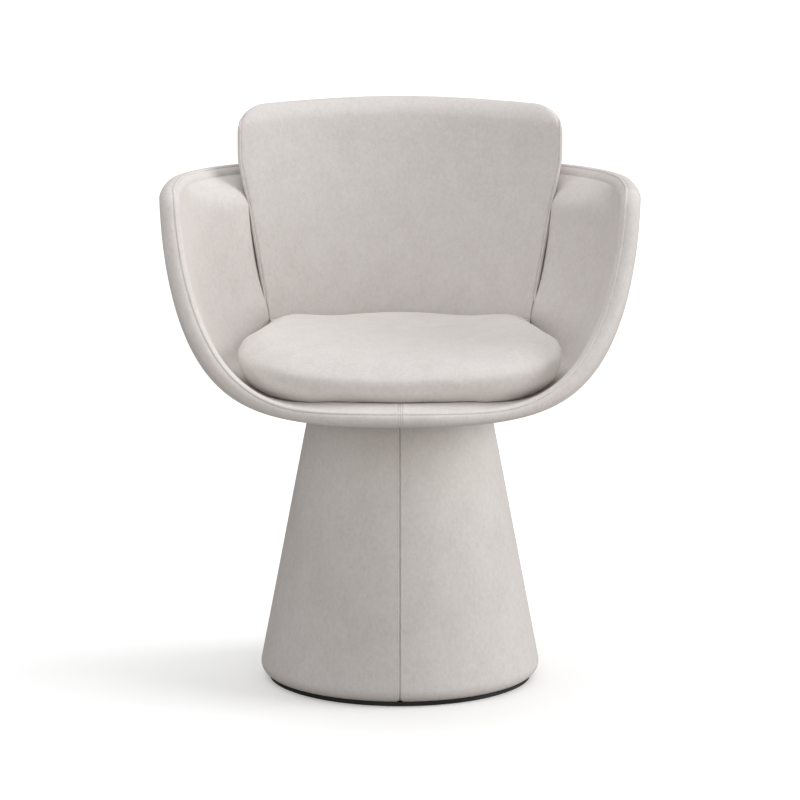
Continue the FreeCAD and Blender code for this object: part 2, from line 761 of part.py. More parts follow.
# Straight runs joined by tangent arcs, each as large as its two runs allow
def rounded_wire(points):
    runs = [points[i + 1] - points[i] for i in range(len(points) - 1)]
    edges = []
    start = points[0]
    for i in range(1, len(points) - 1):
        before, after = Vector(runs[i - 1]), Vector(runs[i])
        back = 0.45 * min(before.Length, after.Length)
        before.normalize()
        after.normalize()
        turn = before.getAngle(after)
        into, out = points[i] - before * back, points[i] + after * back
        radius = back / math.tan(turn / 2)
        inward = after - before
        inward.normalize()
        middle = points[i] + inward * (radius / math.cos(turn / 2) - radius)
        edges.append(Part.LineSegment(start, into).toShape())
        edges.append(Part.Arc(into, middle, out).toShape())
        start = out
    edges.append(Part.LineSegment(start, points[-1]).toShape())
    return Part.Wire(edges)


def tube_along(points, radius):
    wire = rounded_wire(points)
    way = points[1] - points[0]
    profile = Part.Wire([Part.Circle(points[0], way, radius).toShape()])
    tube = wire.makePipeShell([profile], True, False)
    if tube.Volume < 0:
        tube.reverse()
    print("tube volume %.0f, section times length %.0f" % (tube.Volume, math.pi * radius ** 2 * wire.Length))
    return tube


# Middle of the wall at a bearing and a share of the way from the hole to the rim
def mid_wall(angle, share):
    section = TubSection(angle)
    climb = section.climbs[0] + (section.climbs[-1] - section.climbs[0]) * share
    wall = size("wall_floor") + (section.wall - size("wall_floor")) * ease(share, 0, 1)
    return bowl_point(angle, climb) - bowl_normal(angle, climb) * (wall / 2)


# A rib starts inside the ring's tube, follows the middle of the wall and ends inside the rim's tube
def rib_points(angle):
    way = Vector(math.sin(angle), -math.cos(angle), 0)
    start = way * size("ring_radius") + Vector(0, 0, frame_ring.Placement.Base.z)
    steps = at_shares(lambda share: mid_wall(angle, share), 0.0, 1.0, even(7))
    return [start] + [mid_wall(angle, share) for share in steps[1:]]


# The rib less the tubes that its two ends are welded to
def coped_rib(angle):
    rib = tube_along(rib_points(angle), size("tube_radius")).cut(rim_tube).cut(frame_ring.Shape)
    return max(rib.Solids, key=lambda solid: solid.Volume)


doc.recompute()
RIB_ANGLES = [math.radians(angle) for angle in (20, 78, 114, 150)]
rim_steps = at_shares(rim_point, 0.0, math.pi, even(25))
rim_path = [TubSection(angle).centre for angle in rim_steps]
rim_tube = right_half(tube_along(rim_path, size("tube_radius")))[0]
ribs = Part.Compound([coped_rib(angle) for angle in RIB_ANGLES])

# Seat cushion: lofted through level sections, drawn in below its widest line and crowned above it

# How much of the full size is left at a level: 1 at the widest line, less towards the base and the crown
def fullness(level, inset, upper_power, base, lower_power):
    widest = size("cushion_widest")
    if level >= widest:
        away = min((level - widest) / (size("cushion_high") - inset - widest), 1.0)
        return (1 - away ** upper_power) ** (1 / upper_power)
    away = min((widest - level) / (widest - size("cushion_low") - inset), 1.0)
    return base + (1 - base) * (1 - away ** lower_power) ** (1 / lower_power)


# Level section: a tapered oblong with rounded corners whose upper levels rise towards the rear
def cushion_wire(level, inset):
    half = (size("cushion_half") - inset) * fullness(level, inset, 3.0, 0.61, 1.6)
    front = (size("cushion_front") - inset) * fullness(level, inset, 2.3, 0.68, 2.4)
    rear = (size("cushion_rear") - inset) * fullness(level, inset, 4.5, 0.66, 1.8)
    hollow = 0.085 * half
    plan = [(0, rear), (0.60 * half, rear - hollow), (0.83 * half, rear - 1.9 * hollow), (0.885 * half, 0.50 * rear),
            (0.96 * half, -0.12 * front), (half, -0.50 * front), (0.90 * half, -0.78 * front),
            (0.62 * half, -0.945 * front), (0, -front)]
    rise = size("cushion_rise") * max(level - size("cushion_widest"), 0) / (size("cushion_high")
                                                                           - size("cushion_widest"))
    right = [Vector(x, y, level + rise * y) for x, y in plan]
    left = [Vector(-point.x, point.y, point.z) for point in right]
    edges = [Part.Arc(left[1], right[0], right[1]), Part.Arc(right[1], right[2], right[3]),
             Part.Arc(right[3], right[4], right[5]), Part.Arc(right[5], right[6], right[7]),
             Part.Arc(right[7], right[8], left[7]), Part.Arc(left[7], left[6], left[5]),
             Part.Arc(left[5], left[4], left[3]), Part.Arc(left[3], left[2], left[1])]
    return Part.Wire([edge.toShape() for edge in edges])


# Levels at even turns of the rounded side, so that the sections lie evenly along it
def cushion_form(inset):
    low, widest, high = size("cushion_low") + inset, size("cushion_widest"), size("cushion_high") - inset
    levels = [widest - (widest - low) * math.cos(math.radians(turn)) ** 0.8 for turn in (0, 26, 48, 70)]
    levels += [widest + (high - widest) * math.sin(math.radians(turn)) ** 0.8 for turn in (0, 17, 34, 50, 64, 76)]
    wires = [cushion_wire(level, inset) for level in levels]
    return Part.makeLoft(wires, True, False, False, 2)


seat_cushion_cover = feature("seat_cushion_cover", cushion_form(0.0).cut(cushion_form(size("cloth"))))
seat_cushion_foam = feature("seat_cushion_foam", cushion_form(size("cloth") + size("glue_line")))

# Back pad, drawn upright at its own foot and then leaned back: x across, y into the pad, z up its face

PAD_PLACEMENT = Placement(Vector(0, size("pad_foot_y"), size("pad_foot_z")),
                          Rotation(Vector(1, 0, 0), -size("pad_lean")))


# Depth of a face that is part of an upright cylinder, at x across from the middle
def arc_depth(x, radius, middle_depth):
    return middle_depth - radius + math.sqrt(radius ** 2 - x ** 2)


# Lowest and highest level of the pad at x across: drawn-in sides, rounded corners, arched top
def pad_levels(x, inset):
    widest = size("pad_top_half") - inset
    foot = size("pad_foot_half") - inset
    corner, foot_corner = size("pad_corner"), size("pad_foot_corner")
    across = min(abs(x), widest)
    low = inset
    if across > foot - foot_corner:
        low += foot_corner * (min(across - foot + foot_corner, foot_corner) / foot_corner) ** 2
    if across > foot:
        low += (across - foot) * size("pad_side_rise")
    turn = max(across - (widest - corner), 0.0) / corner
    high = size("pad_high") - inset - size("pad_top_arch") * (across / widest) ** 2
    return low, high - corner * (1 - math.sqrt(1 - turn ** 2))


# Upright section through the pad at a share of its half width
def pad_wire(share, inset):
    x = (size("pad_top_half") - inset) * share
    low, high = pad_levels(x, inset)
    front = arc_depth(x, size("pad_front_radius"), 0) + inset
    rear = arc_depth(x, size("pad_rear_radius"), size("pad_thick")) - inset
    plump = (1 - abs(share) ** 9) ** 0.5
    middle, half = (front + rear) / 2, (rear - front) / 2 * plump
    cap = min(size("pad_cap") * plump, (high - low) * 0.35)
    bulge = size("pad_bulge") * plump
    centre = (low + high) / 2
    edges = [
        Part.Arc(Vector(x, middle - half, low + cap), Vector(x, middle - half - bulge, centre),
                 Vector(x, middle - half, high - cap)),
        Part.Arc(Vector(x, middle - half, high - cap), Vector(x, middle, high), Vector(x, middle + half, high - cap)),
        Part.LineSegment(Vector(x, middle + half, high - cap), Vector(x, middle + half, low + cap)),
        Part.Arc(Vector(x, middle + half, low + cap), Vector(x, middle, low), Vector(x, middle - half, low + cap)),
    ]
    return Part.Wire([edge.toShape() for edge in edges])


PAD_HALF_STATIONS = [0.22, 0.44, 0.64, 0.78, 0.87, 0.93, 0.97, 0.992]
PAD_STATIONS = [-share for share in reversed(PAD_HALF_STATIONS)] + [0.0] + PAD_HALF_STATIONS


def pad_form(inset):
    return Part.makeLoft([pad_wire(share, inset) for share in PAD_STATIONS], True, False)


# Wall between two upright cylinders, wide enough for the whole pad
def curved_wall(rear_radius, thick, high):
    axis = Vector(0, size("pad_thick") - size("pad_rear_radius"), 0)
    outer = Part.makeCylinder(rear_radius, high, axis)
    return outer.cut(Part.makeCylinder(rear_radius - thick, high, axis))


cloth, glue = size("cloth"), size("glue_line")
panel_low, panel_high = size("panel_low"), size("panel_high")
panel_rear = size("pad_rear_radius") - size("panel_cover") - cloth
panel_foot, panel_top = size("panel_foot_half"), size("panel_top_half")
panel_corners = [Vector(-panel_foot, -150, 0), Vector(panel_foot, -150, 0), Vector(panel_top, -150, panel_high),
                 Vector(-panel_top, -150, panel_high), Vector(-panel_foot, -150, 0)]
panel_prism = Part.Face(Part.makePolygon(panel_corners)).extrude(Vector(0, 300, 0))
panel_prism.translate(Vector(0, 0, panel_low))
panel_form = curved_wall(panel_rear, size("panel_thick"), size("pad_high")).common(panel_prism).Solids[0]

# Straps across the back of the steel frame, and the bolts that draw the pad's panel against them
STRAP_CENTRE = Vector(0, size("strap_rear") - size("strap_radius"), 0)


def strap(level):
    low = level - size("strap_wide") / 2
    ring = Part.makeCylinder(size("strap_radius"), size("strap_wide"), STRAP_CENTRE + Vector(0, 0, low))
    ring = ring.cut(Part.makeCylinder(size("strap_radius") - size("strap_thick"), size("strap_wide"),
                                      STRAP_CENTRE + Vector(0, 0, low)))
    long = size("strap_half")
    return ring.common(Part.makeBox(2 * long, 200, size("strap_wide"), Vector(-long, 100, low))).Solids[0]


def y_cylinder(radius, x, z, rear, long):
    return Part.makeCylinder(radius, long, Vector(x, rear, z), Vector(0, -1, 0))


STRAP_LEVELS = (size("strap_low"), size("strap_high"))
straps = Part.Compound([strap(level) for level in STRAP_LEVELS])
panel_seated = panel_form.copy()
panel_seated.Placement = PAD_PLACEMENT
bolts, bolt_ways, nuts = [], [], []
for level in STRAP_LEVELS:
    for x in (-size("pad_bolt_x"), size("pad_bolt_x")):
        rear = STRAP_CENTRE.y + math.sqrt(size("strap_radius") ** 2 - x ** 2) + 1.5
        high = level - size("pad_foot_z")
        lean = math.radians(size("pad_lean"))
        front = size("pad_foot_y") + high * math.tan(lean) + (arc_depth(x, panel_rear, size("pad_thick"))
                                                              - size("panel_thick") - 8) / math.cos(lean)
        head = y_cylinder(size("pad_bolt_head") / 2, x, level, rear + 3, 3)
        shank = y_cylinder(size("pad_bolt_thick") / 2, x, level, rear, rear - front)
        bolts.append(head.fuse(shank).removeSplitter())
        bolt_ways.append(y_cylinder(size("pad_bolt_thick") / 2 + 0.3, x, level, rear + 1, rear - front + 2))
        barrel = y_cylinder(size("nut_radius"), x, level, front + 14, 12)
        flange = y_cylinder(size("nut_flange_radius"), x, level, front + 3.2, size("nut_flange_thick"))
        nuts.append(barrel.fuse(flange).cut(y_cylinder(size("pad_bolt_thick") / 2, x, level, rear, rear - front)))
bolt_ways = Part.Compound(bolt_ways)
bolt_group, nut_group = Part.Compound(bolts), Part.Compound(nuts)

BACK = PAD_PLACEMENT.inverse()


def into_pad_frame(shape):
    moved = shape.copy()
    moved.Placement = BACK.multiply(moved.Placement)
    return moved


pad_bolt_ways, pad_nuts = into_pad_frame(bolt_ways), into_pad_frame(nut_group)
back_pad_cover = feature("back_pad_cover", pad_form(0).cut(pad_form(cloth)).cut(pad_bolt_ways))
back_pad_foam = feature("back_pad_foam", pad_form(cloth + glue).cut(panel_form).cut(pad_bolt_ways).cut(pad_nuts))
back_pad_panel = feature("back_pad_panel", panel_form.cut(pad_bolt_ways).cut(pad_nuts))
for piece in (back_pad_cover, back_pad_foam, back_pad_panel):
    piece.Placement = PAD_PLACEMENT
pad_bolts = feature("pad_bolts", bolt_group)
pad_tee_nuts = feature("pad_tee_nuts", nut_group)

# Tub pieces of the right half and their mirror images
foam = wrapped_solid(tub_grid(size("cloth") + size("tub_gap"), "foam"))
foam = foam.cut(Part.Compound([rim_tube] + ribs.Solids + right_half(straps) + right_half(bolt_group)))
outer_cover = sheet_solid(tub_grid(0.0, "outer"), tub_grid(size("cloth"), "outer"))
inner_cover = sheet_solid(tub_grid(0.0, "inner"), tub_grid(size("cloth"), "inner")).cut(bolt_ways)
welt_path = [TubSection(angle).welt_centre() for angle in at_shares(rim_point, 0.0, math.pi, even(73))]
welt = right_half(tube_along(welt_path, size("welt_radius")))[0]

tub_pieces = {"frame_rim_tube": rim_tube, "frame_ribs": ribs, "tub_foam": foam, "outer_cover": outer_cover,
              "inner_cover": inner_cover, "rim_welt": welt}
tub_features = []
for name, shape in tub_pieces.items():
    tub_features.append(feature(name + "_right", shape))
    tub_features.append(feature(name + "_left", shape.mirror(*MIRROR)))

coped = straps.cut(bolt_ways).cut(ribs).cut(ribs.mirror(*MIRROR))
back_straps = feature("back_straps", Part.Compound([solid for solid in coped.Solids if solid.Volume > 1000]))

doc.recompute()

# Names of the finished pieces, one file each
FINISHED = [
    "felt_base_pad", "base_plate", "base_plate_screws", "bottom_board", "pedestal_posts", "post_screws",
    "top_board", "pedestal_skin", "pedestal_padding", "pedestal_cover_left", "pedestal_cover_right",
    "swivel_lower_disc", "lower_disc_bolts", "lower_tee_nuts", "swivel_balls", "ball_cage",
    "swivel_upper_disc", "swivel_pin", "upper_disc_bolts", "upper_tee_nuts", "seat_board", "dust_cover",
    "frame_ring", "frame_bars", "bar_screws", "frame_rim_tube_left", "frame_rim_tube_right",
    "frame_ribs_left", "frame_ribs_right", "tub_foam_left", "tub_foam_right", "outer_cover_left",
    "outer_cover_right", "inner_cover_left", "inner_cover_right", "rim_welt_left", "rim_welt_right",
    "seat_cushion_cover", "seat_cushion_foam", "back_pad_cover", "back_pad_foam", "back_pad_panel",
    "pad_bolts", "pad_tee_nuts", "back_straps",
]
for thing in doc.Objects:
    if "Invalid" in thing.State or "Error" in thing.State:
        raise RuntimeError("failed: " + thing.Name)
os.makedirs("parts", exist_ok=True)
for name in FINISHED:
    shape = doc.getObject(name).Shape
    if shape.isNull() or not shape.isValid():
        raise RuntimeError("bad shape: " + name)
    doc.getObject(name).Label = name
    shape.exportStep("parts/%s.step" % name)
    print("%-24s %2d solids %12.1f mm3  %s" % (name, len(shape.Solids), shape.Volume, shape.BoundBox))
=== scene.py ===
"""Pedestal swivel armchair: the visible model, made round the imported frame. Metres, +Z up, front -Y."""
import json
import math

import bmesh
import bpy
import numpy as np
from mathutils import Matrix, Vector
from mathutils.bvhtree import BVHTree


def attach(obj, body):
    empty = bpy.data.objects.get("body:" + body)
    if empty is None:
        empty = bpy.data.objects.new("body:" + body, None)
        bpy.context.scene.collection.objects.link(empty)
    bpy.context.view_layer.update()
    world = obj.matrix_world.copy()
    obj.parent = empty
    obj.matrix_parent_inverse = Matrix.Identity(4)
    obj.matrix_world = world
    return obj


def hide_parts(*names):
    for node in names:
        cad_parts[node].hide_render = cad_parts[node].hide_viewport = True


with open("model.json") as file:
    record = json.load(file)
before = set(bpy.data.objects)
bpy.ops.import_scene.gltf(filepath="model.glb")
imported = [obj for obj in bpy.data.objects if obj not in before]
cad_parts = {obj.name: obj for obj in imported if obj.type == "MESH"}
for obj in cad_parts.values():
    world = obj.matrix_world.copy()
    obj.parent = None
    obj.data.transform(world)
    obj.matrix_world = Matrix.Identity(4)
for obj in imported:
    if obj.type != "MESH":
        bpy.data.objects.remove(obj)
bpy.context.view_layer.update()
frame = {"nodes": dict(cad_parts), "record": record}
MM = 0.001

# Studio: the photograph's camera, soft light from the right and from overhead, weaker fills from
# the front and the left, a pale floor

CAMERA_PLACE = (0.0, -3.92, 0.98)
CAMERA_DOWN = 8.60
CAMERA_LENS = 129.47
FLOOR_HALF, FLOOR_GLOW = 120.0, 0.32

scene = bpy.context.scene
scene.view_settings.view_transform = "Standard"


def linear(hex_colour):
    """Linear colour of an sRGB hex colour."""
    parts = [int(hex_colour[i:i + 2], 16) / 255 for i in (1, 3, 5)]
    return tuple(v / 12.92 if v <= 0.04045 else ((v + 0.055) / 1.055) ** 2.4 for v in parts) + (1.0,)


def add_node(tree, kind, settings=None, inputs=None, links=None):
    """A node with its settings, input values, and links from other nodes' outputs."""
    node = tree.nodes.new(kind)
    for name, value in (settings or {}).items():
        setattr(node, name, value)
    for name, value in (inputs or {}).items():
        node.inputs[name].default_value = value
    for name, output in (links or {}).items():
        tree.links.new(output, node.inputs[name])
    return node


def make_camera():
    data = bpy.data.cameras.new("camera")
    data.lens = CAMERA_LENS
    data.sensor_width = 36.0
    camera = bpy.data.objects.new("camera", data)
    camera.location = CAMERA_PLACE
    camera.rotation_euler = (math.radians(90 - CAMERA_DOWN), 0, 0)
    scene.collection.objects.link(camera)
    scene.camera = camera


def make_sun(name, direction, angle, strength):
    data = bpy.data.lights.new(name, "SUN")
    data.angle = math.radians(angle)
    data.energy = strength
    light = bpy.data.objects.new(name, data)
    light.rotation_euler = Vector(direction).to_track_quat("-Z", "Y").to_euler()
    scene.collection.objects.link(light)


def make_world(strength):
    world = bpy.data.worlds.new("studio")
    scene.world = world
    world.use_nodes = True
    background = world.node_tree.nodes["Background"]
    background.inputs["Color"].default_value = linear("#ffffff")
    background.inputs["Strength"].default_value = strength


def make_floor():
    """A wide pale sweep: bright to the eye, and a dimmer bounce on the chair's underside."""
    mesh = bpy.data.meshes.new("floor")
    far = FLOOR_HALF
    corners = [(-far, -far, 0), (far, -far, 0), (far, far, 0), (-far, far, 0)]
    mesh.from_pydata(corners, [], [(0, 1, 2, 3)])
    floor = bpy.data.objects.new("floor", mesh)
    scene.collection.objects.link(floor)
    material = bpy.data.materials.new("studio_floor")
    material.use_nodes = True
    tree = material.node_tree
    tree.nodes.clear()
    seen = add_node(tree, "ShaderNodeBsdfDiffuse", inputs={"Color": linear("#f2f2f2")})
    glow = add_node(tree, "ShaderNodeEmission", inputs={
        "Color": linear("#ffffff"), "Strength": FLOOR_GLOW})
    lit = add_node(tree, "ShaderNodeAddShader", links={0: seen.outputs[0], 1: glow.outputs[0]})
    bounce = add_node(tree, "ShaderNodeBsdfDiffuse", inputs={"Color": linear("#b4b0ac")})
    rays = add_node(tree, "ShaderNodeLightPath")
    mix = add_node(tree, "ShaderNodeMixShader", links={
        0: rays.outputs["Is Camera Ray"], 1: bounce.outputs[0], 2: lit.outputs[0]})
    add_node(tree, "ShaderNodeOutputMaterial", links={"Surface": mix.outputs[0]})
    floor.data.materials.append(material)


make_camera()
make_world(0.12)
make_sun("right_key", (-1.0, 0.10, -0.35), 45, 2.10)
make_sun("overhead", (0.02, -0.08, -1.0), 58, 1.68)
make_sun("front_fill", (0, 1.0, -0.15), 50, 0.88)
make_sun("left_fill", (0.80, 0.50, -0.35), 50, 0.45)
make_floor()

# Materials

CLOTH_LIGHT = "#e4e0dd"
CLOTH_MID = "#dcd7d4"
CLOTH_DEEP = "#d2ccc8"


def new_material(name):
    material = bpy.data.materials.new(name)
    material.use_nodes = True
    material.node_tree.nodes.clear()
    return material, material.node_tree


def finish_material(tree, shader, links):
    bsdf = add_node(tree, "ShaderNodeBsdfPrincipled", inputs=shader, links=links)
    add_node(tree, "ShaderNodeOutputMaterial", links={"Surface": bsdf.outputs[0]})


def size_scale(size_mm):
    """Noise scale for patches of that real size."""
    return 1000.0 / size_mm


def brushed_cloth(name, stroke):
    """Brushed microfibre: matt, pale at grazing light, mottled where the short pile leans both ways."""
    material, tree = new_material(name)
    place = add_node(tree, "ShaderNodeTexCoord")
    brushed = add_node(tree, "ShaderNodeMapping", inputs={"Scale": stroke},
                       links={"Vector": place.outputs["Object"]})
    patches = add_node(tree, "ShaderNodeTexNoise", inputs={
        "Scale": size_scale(32), "Detail": 3.0, "Roughness": 0.55},
        links={"Vector": brushed.outputs[0]})
    tufts = add_node(tree, "ShaderNodeTexNoise", inputs={
        "Scale": size_scale(5.5), "Detail": 4.0, "Roughness": 0.7},
        links={"Vector": brushed.outputs[0]})
    grain = add_node(tree, "ShaderNodeTexNoise", inputs={
        "Scale": size_scale(1.9), "Detail": 3.0, "Roughness": 0.75},
        links={"Vector": brushed.outputs[0]})
    fibre = add_node(tree, "ShaderNodeTexNoise", inputs={
        "Scale": size_scale(0.55), "Detail": 2.0, "Roughness": 0.6},
        links={"Vector": brushed.outputs[0]})
    lean = add_node(tree, "ShaderNodeMath", {"operation": "MULTIPLY_ADD"}, {1: 0.55},
                    {0: patches.outputs[0], 2: tufts.outputs[0]})
    nap = add_node(tree, "ShaderNodeMath", {"operation": "MULTIPLY_ADD"}, {1: 0.8},
                   {0: grain.outputs[0], 2: lean.outputs[0]})
    shade = add_node(tree, "ShaderNodeMapRange", inputs={
        "From Min": 0.80, "From Max": 1.55, "To Min": 0.0, "To Max": 1.0},
        links={"Value": nap.outputs[0]})
    colour = add_node(tree, "ShaderNodeValToRGB", links={"Fac": shade.outputs[0]})
    colour.color_ramp.elements[0].color = linear(CLOTH_DEEP)
    colour.color_ramp.elements[1].color = linear(CLOTH_LIGHT)
    middle = colour.color_ramp.elements.new(0.5)
    middle.color = linear(CLOTH_MID)
    height = add_node(tree, "ShaderNodeMath", {"operation": "MULTIPLY_ADD"}, {1: 0.5},
                      {0: fibre.outputs[0], 2: grain.outputs[0]})
    bump = add_node(tree, "ShaderNodeBump", inputs={"Strength": 0.30, "Distance": 0.35 * MM},
                    links={"Height": height.outputs[0]})
    rough = add_node(tree, "ShaderNodeMapRange", inputs={
        "From Min": 0.3, "From Max": 0.7, "To Min": 0.82, "To Max": 0.94},
        links={"Value": tufts.outputs[0]})
    finish_material(tree, {
        "IOR": 1.46, "Specular IOR Level": 0.25, "Sheen Weight": 0.22, "Sheen Roughness": 0.45,
        "Sheen Tint": linear("#f6f1ec")},
        {"Base Color": colour.outputs[0], "Normal": bump.outputs[0], "Roughness": rough.outputs[0]})
    return material


def plain_finish(name, low, high, size_mm, rough, bump_mm, stretch=(1, 1, 1), **shader):
    """A finish with its own fine grain: two close tones, roughness and relief from one noise."""
    material, tree = new_material(name)
    place = add_node(tree, "ShaderNodeTexCoord")
    mapped = add_node(tree, "ShaderNodeMapping", inputs={"Scale": stretch},
                      links={"Vector": place.outputs["Object"]})
    grain = add_node(tree, "ShaderNodeTexNoise", inputs={
        "Scale": size_scale(size_mm), "Detail": 5.0, "Roughness": 0.65},
        links={"Vector": mapped.outputs[0]})
    colour = add_node(tree, "ShaderNodeValToRGB", links={"Fac": grain.outputs[0]})
    colour.color_ramp.elements[0].position = 0.35
    colour.color_ramp.elements[1].position = 0.65
    colour.color_ramp.elements[0].color = linear(low)
    colour.color_ramp.elements[1].color = linear(high)
    spread = add_node(tree, "ShaderNodeMapRange", inputs={
        "From Min": 0.3, "From Max": 0.7, "To Min": rough[0], "To Max": rough[1]},
        links={"Value": grain.outputs[0]})
    bump = add_node(tree, "ShaderNodeBump", inputs={"Strength": 0.5, "Distance": bump_mm * MM},
                    links={"Height": grain.outputs[0]})
    finish_material(tree, shader, {
        "Base Color": colour.outputs[0], "Roughness": spread.outputs[0], "Normal": bump.outputs[0]})
    return material


# All the nap is brushed a little up and down, the pedestal's a little more
brushed_microfibre = brushed_cloth("brushed_microfibre", (1, 1, 0.8))
brushed_microfibre_upright = brushed_cloth("brushed_microfibre_upright", (1, 1, 0.7))
# Polyester topstitch thread: a shade deeper than the cloth, with a soft gloss
topstitch_thread = plain_finish(
    "topstitch_thread", "#b3aaa2", "#cbc3bc", 0.4, (0.45, 0.6), 0.05, **{"Sheen Weight": 0.2})
# Needled felt: black, hairy, no gloss
needled_felt = plain_finish(
    "needled_felt", "#121212", "#1f1e1e", 1.2, (0.9, 0.98), 0.4, **{"Sheen Weight": 0.15})
# Powder-coated plate steel: fine orange peel, satin black
powder_coated_steel = plain_finish(
    "powder_coated_steel", "#151515", "#1c1c1c", 0.9, (0.42, 0.55), 0.06)
# Welded and lacquered frame steel: dark grey, slight streaks from the draw
lacquered_steel = plain_finish(
    "lacquered_steel", "#2c2d2e", "#3b3c3d", 6.0, (0.3, 0.45), 0.03, Metallic=0.6)
# Bright zinc plating on screws, bolts and tee nuts
zinc_plated_steel = plain_finish(
    "zinc_plated_steel", "#a9adb0", "#cfd2d4", 1.5, (0.24, 0.38), 0.02, Metallic=1.0)
# Ground bearing steel, oiled
ground_bearing_steel = plain_finish(
    "ground_bearing_steel", "#8f9294", "#b4b7b9", 0.8, (0.14, 0.24), 0.01, Metallic=1.0)
# Beech plywood, sanded: long pale grain
beech_plywood = plain_finish(
    "beech_plywood", "#c19a6b", "#dab98b", 9.0, (0.55, 0.7), 0.08, (1, 0.12, 1))
# Cut polyurethane foam: open cells under a millimetre
cut_foam = plain_finish("cut_foam", "#d8cfae", "#ece5c9", 0.9, (0.93, 0.99), 0.3)

FINISHES = {
    "brushed_cloth": brushed_microfibre,
    "black_felt": needled_felt,
    "black_steel": powder_coated_steel,
    "frame_steel": lacquered_steel,
    "zinc_screws": zinc_plated_steel,
    "bearing_steel": ground_bearing_steel,
    "plywood": beech_plywood,
    "foam": cut_foam,
}
NODE_FINISH = {part["node"]: part["material_slot"] for part in frame["record"]["subparts"]}


# Meshes

def new_piece(name, points, faces, material):
    mesh = bpy.data.meshes.new(name)
    mesh.from_pydata([tuple(point) for point in points], [], faces)
    mesh.update()
    mesh.polygons.foreach_set("use_smooth", [True] * len(mesh.polygons))
    if material is not None:
        mesh.materials.append(material)
    piece = bpy.data.objects.new(name, mesh)
    scene.collection.objects.link(piece)
    return piece


def grid_faces(rows, columns):
    """Faces of a grid of points that closes on itself along its columns."""
    faces = []
    for i in range(rows - 1):
        low, high = i * columns, (i + 1) * columns
        for j in range(columns):
            k = (j + 1) % columns
            faces.append((low + j, low + k, high + k, high + j))
    return faces


def add_modifier(piece, kind, **settings):
    modifier = piece.modifiers.new(kind.lower(), kind)
    for name, value in settings.items():
        setattr(modifier, name, value)
    return modifier


def bake(piece):
    """The piece's modifiers turned into its plain mesh."""
    graph = bpy.context.evaluated_depsgraph_get()
    mesh = bpy.data.meshes.new_from_object(piece.evaluated_get(graph), depsgraph=graph)
    old = piece.data
    piece.modifiers.clear()
    piece.data = mesh
    mesh.name = piece.name
    bpy.data.meshes.remove(old)
    return piece


def clean(piece):
    """Doubles merged, then all normals made to face outwards."""
    work = bmesh.new()
    work.from_mesh(piece.data)
    bmesh.ops.remove_doubles(work, verts=work.verts, dist=0.02 * MM)
    bmesh.ops.recalc_face_normals(work, faces=work.faces)
    work.to_mesh(piece.data)
    work.free()
    return piece


def coordinates(piece):
    points = np.empty(len(piece.data.vertices) * 3)
    piece.data.vertices.foreach_get("co", points)
    return points.reshape(-1, 3)


def set_coordinates(piece, points):
    piece.data.vertices.foreach_set("co", np.ascontiguousarray(points, dtype=float).ravel())
    piece.data.update()


def vertex_normals(piece):
    normals = np.empty(len(piece.data.vertices) * 3)
    piece.data.vertices.foreach_get("normal", normals)
    return normals.reshape(-1, 3)


def ease(value, low, high):
    part = np.clip((np.asarray(value, dtype=float) - low) / (high - low), 0, 1)
    return part * part * (3 - 2 * part)


def bell(value, width):
    return np.exp(-(np.asarray(value) / width) ** 2)


def unit(vectors):
    return vectors / np.linalg.norm(vectors, axis=-1, keepdims=True)


# Shell: the CAD shell's rule, with bearing 0 at the front and angles in radians. Only the lining
# differs: beside the back pad it starts lower and runs wider and higher than the CAD lining

SHELL_SIDE, SHELL_FRONT, SHELL_REAR = 0.322, 0.434, 0.290
POWER_FRONT, POWER_REAR = 2.75, 2.34
HEEL_SIDE, HEEL_FRONT = 5.4, 7.25
SHELL_FLOOR, SHELL_TOP, SHELL_HOLE = 0.3872, 0.692, 0.137
LIP_LEVEL, ARM_LEVEL, BACK_RISE = 0.399, 0.6725, 0.018
RIM_END, RIM_POWER, RIM_CORNER = 67.4, 4.85, 1.2
WALL_FLOOR, WALL_LIP, WALL_ARM = 0.024, 0.017, 0.027
WELT_LIP, WELT_ARM = 140.0, 118.0
WELT_RADIUS, WELT_LIFT = 2.2 * MM, -0.8 * MM
LINING_THICK, ROLL_HIGH = 46 * MM, 11 * MM
CLOTH = 1.6 * MM
# Bearings in degrees, and shares of the way up from the hole, between which the lining swells and ends
BESIDE_FROM, BESIDE_FULL, BESIDE_TO = 92, 121, 139
BESIDE_LOW, BESIDE_HIGH, BESIDE_TOP = 0.15, 0.47, 0.88
ROLL_FADE, ROLL_TO = 20, 44
ROLL_LOW, ROLL_CROWN = 0.35, 0.66
WALL_TURN_FROM, WALL_TURN_TO = 25, 60
WELT_TURN_FROM, WELT_TURN_TO = 4, 34


def shell_reach(bearing):
    ahead = np.cos(bearing) > 0
    power = np.where(ahead, POWER_FRONT, POWER_REAR)
    along = np.where(ahead, SHELL_FRONT, SHELL_REAR)
    side = np.abs(np.sin(bearing) / SHELL_SIDE) ** power
    return (side + np.abs(np.cos(bearing) / along) ** power) ** (-1 / power)


def heel(bearing):
    return HEEL_SIDE + (HEEL_FRONT - HEEL_SIDE) * np.maximum(np.cos(bearing), 0) ** 4


def rim_level(bearing):
    part = np.clip(np.degrees(np.abs(bearing)) / RIM_END, 0, 1)
    top = ARM_LEVEL + BACK_RISE * ((1 - np.cos(bearing)) / 2) ** 2
    return LIP_LEVEL + (top - LIP_LEVEL) * (1 - (1 - part ** RIM_POWER) ** RIM_CORNER)


def shell_point(bearing, climb):
    out = shell_reach(bearing) * np.sin(climb) ** (2 / heel(bearing))
    level = SHELL_FLOOR + (SHELL_TOP - SHELL_FLOOR) * (1 - np.cos(climb))
    return np.stack([out * np.sin(bearing), -out * np.cos(bearing), level], axis=-1)


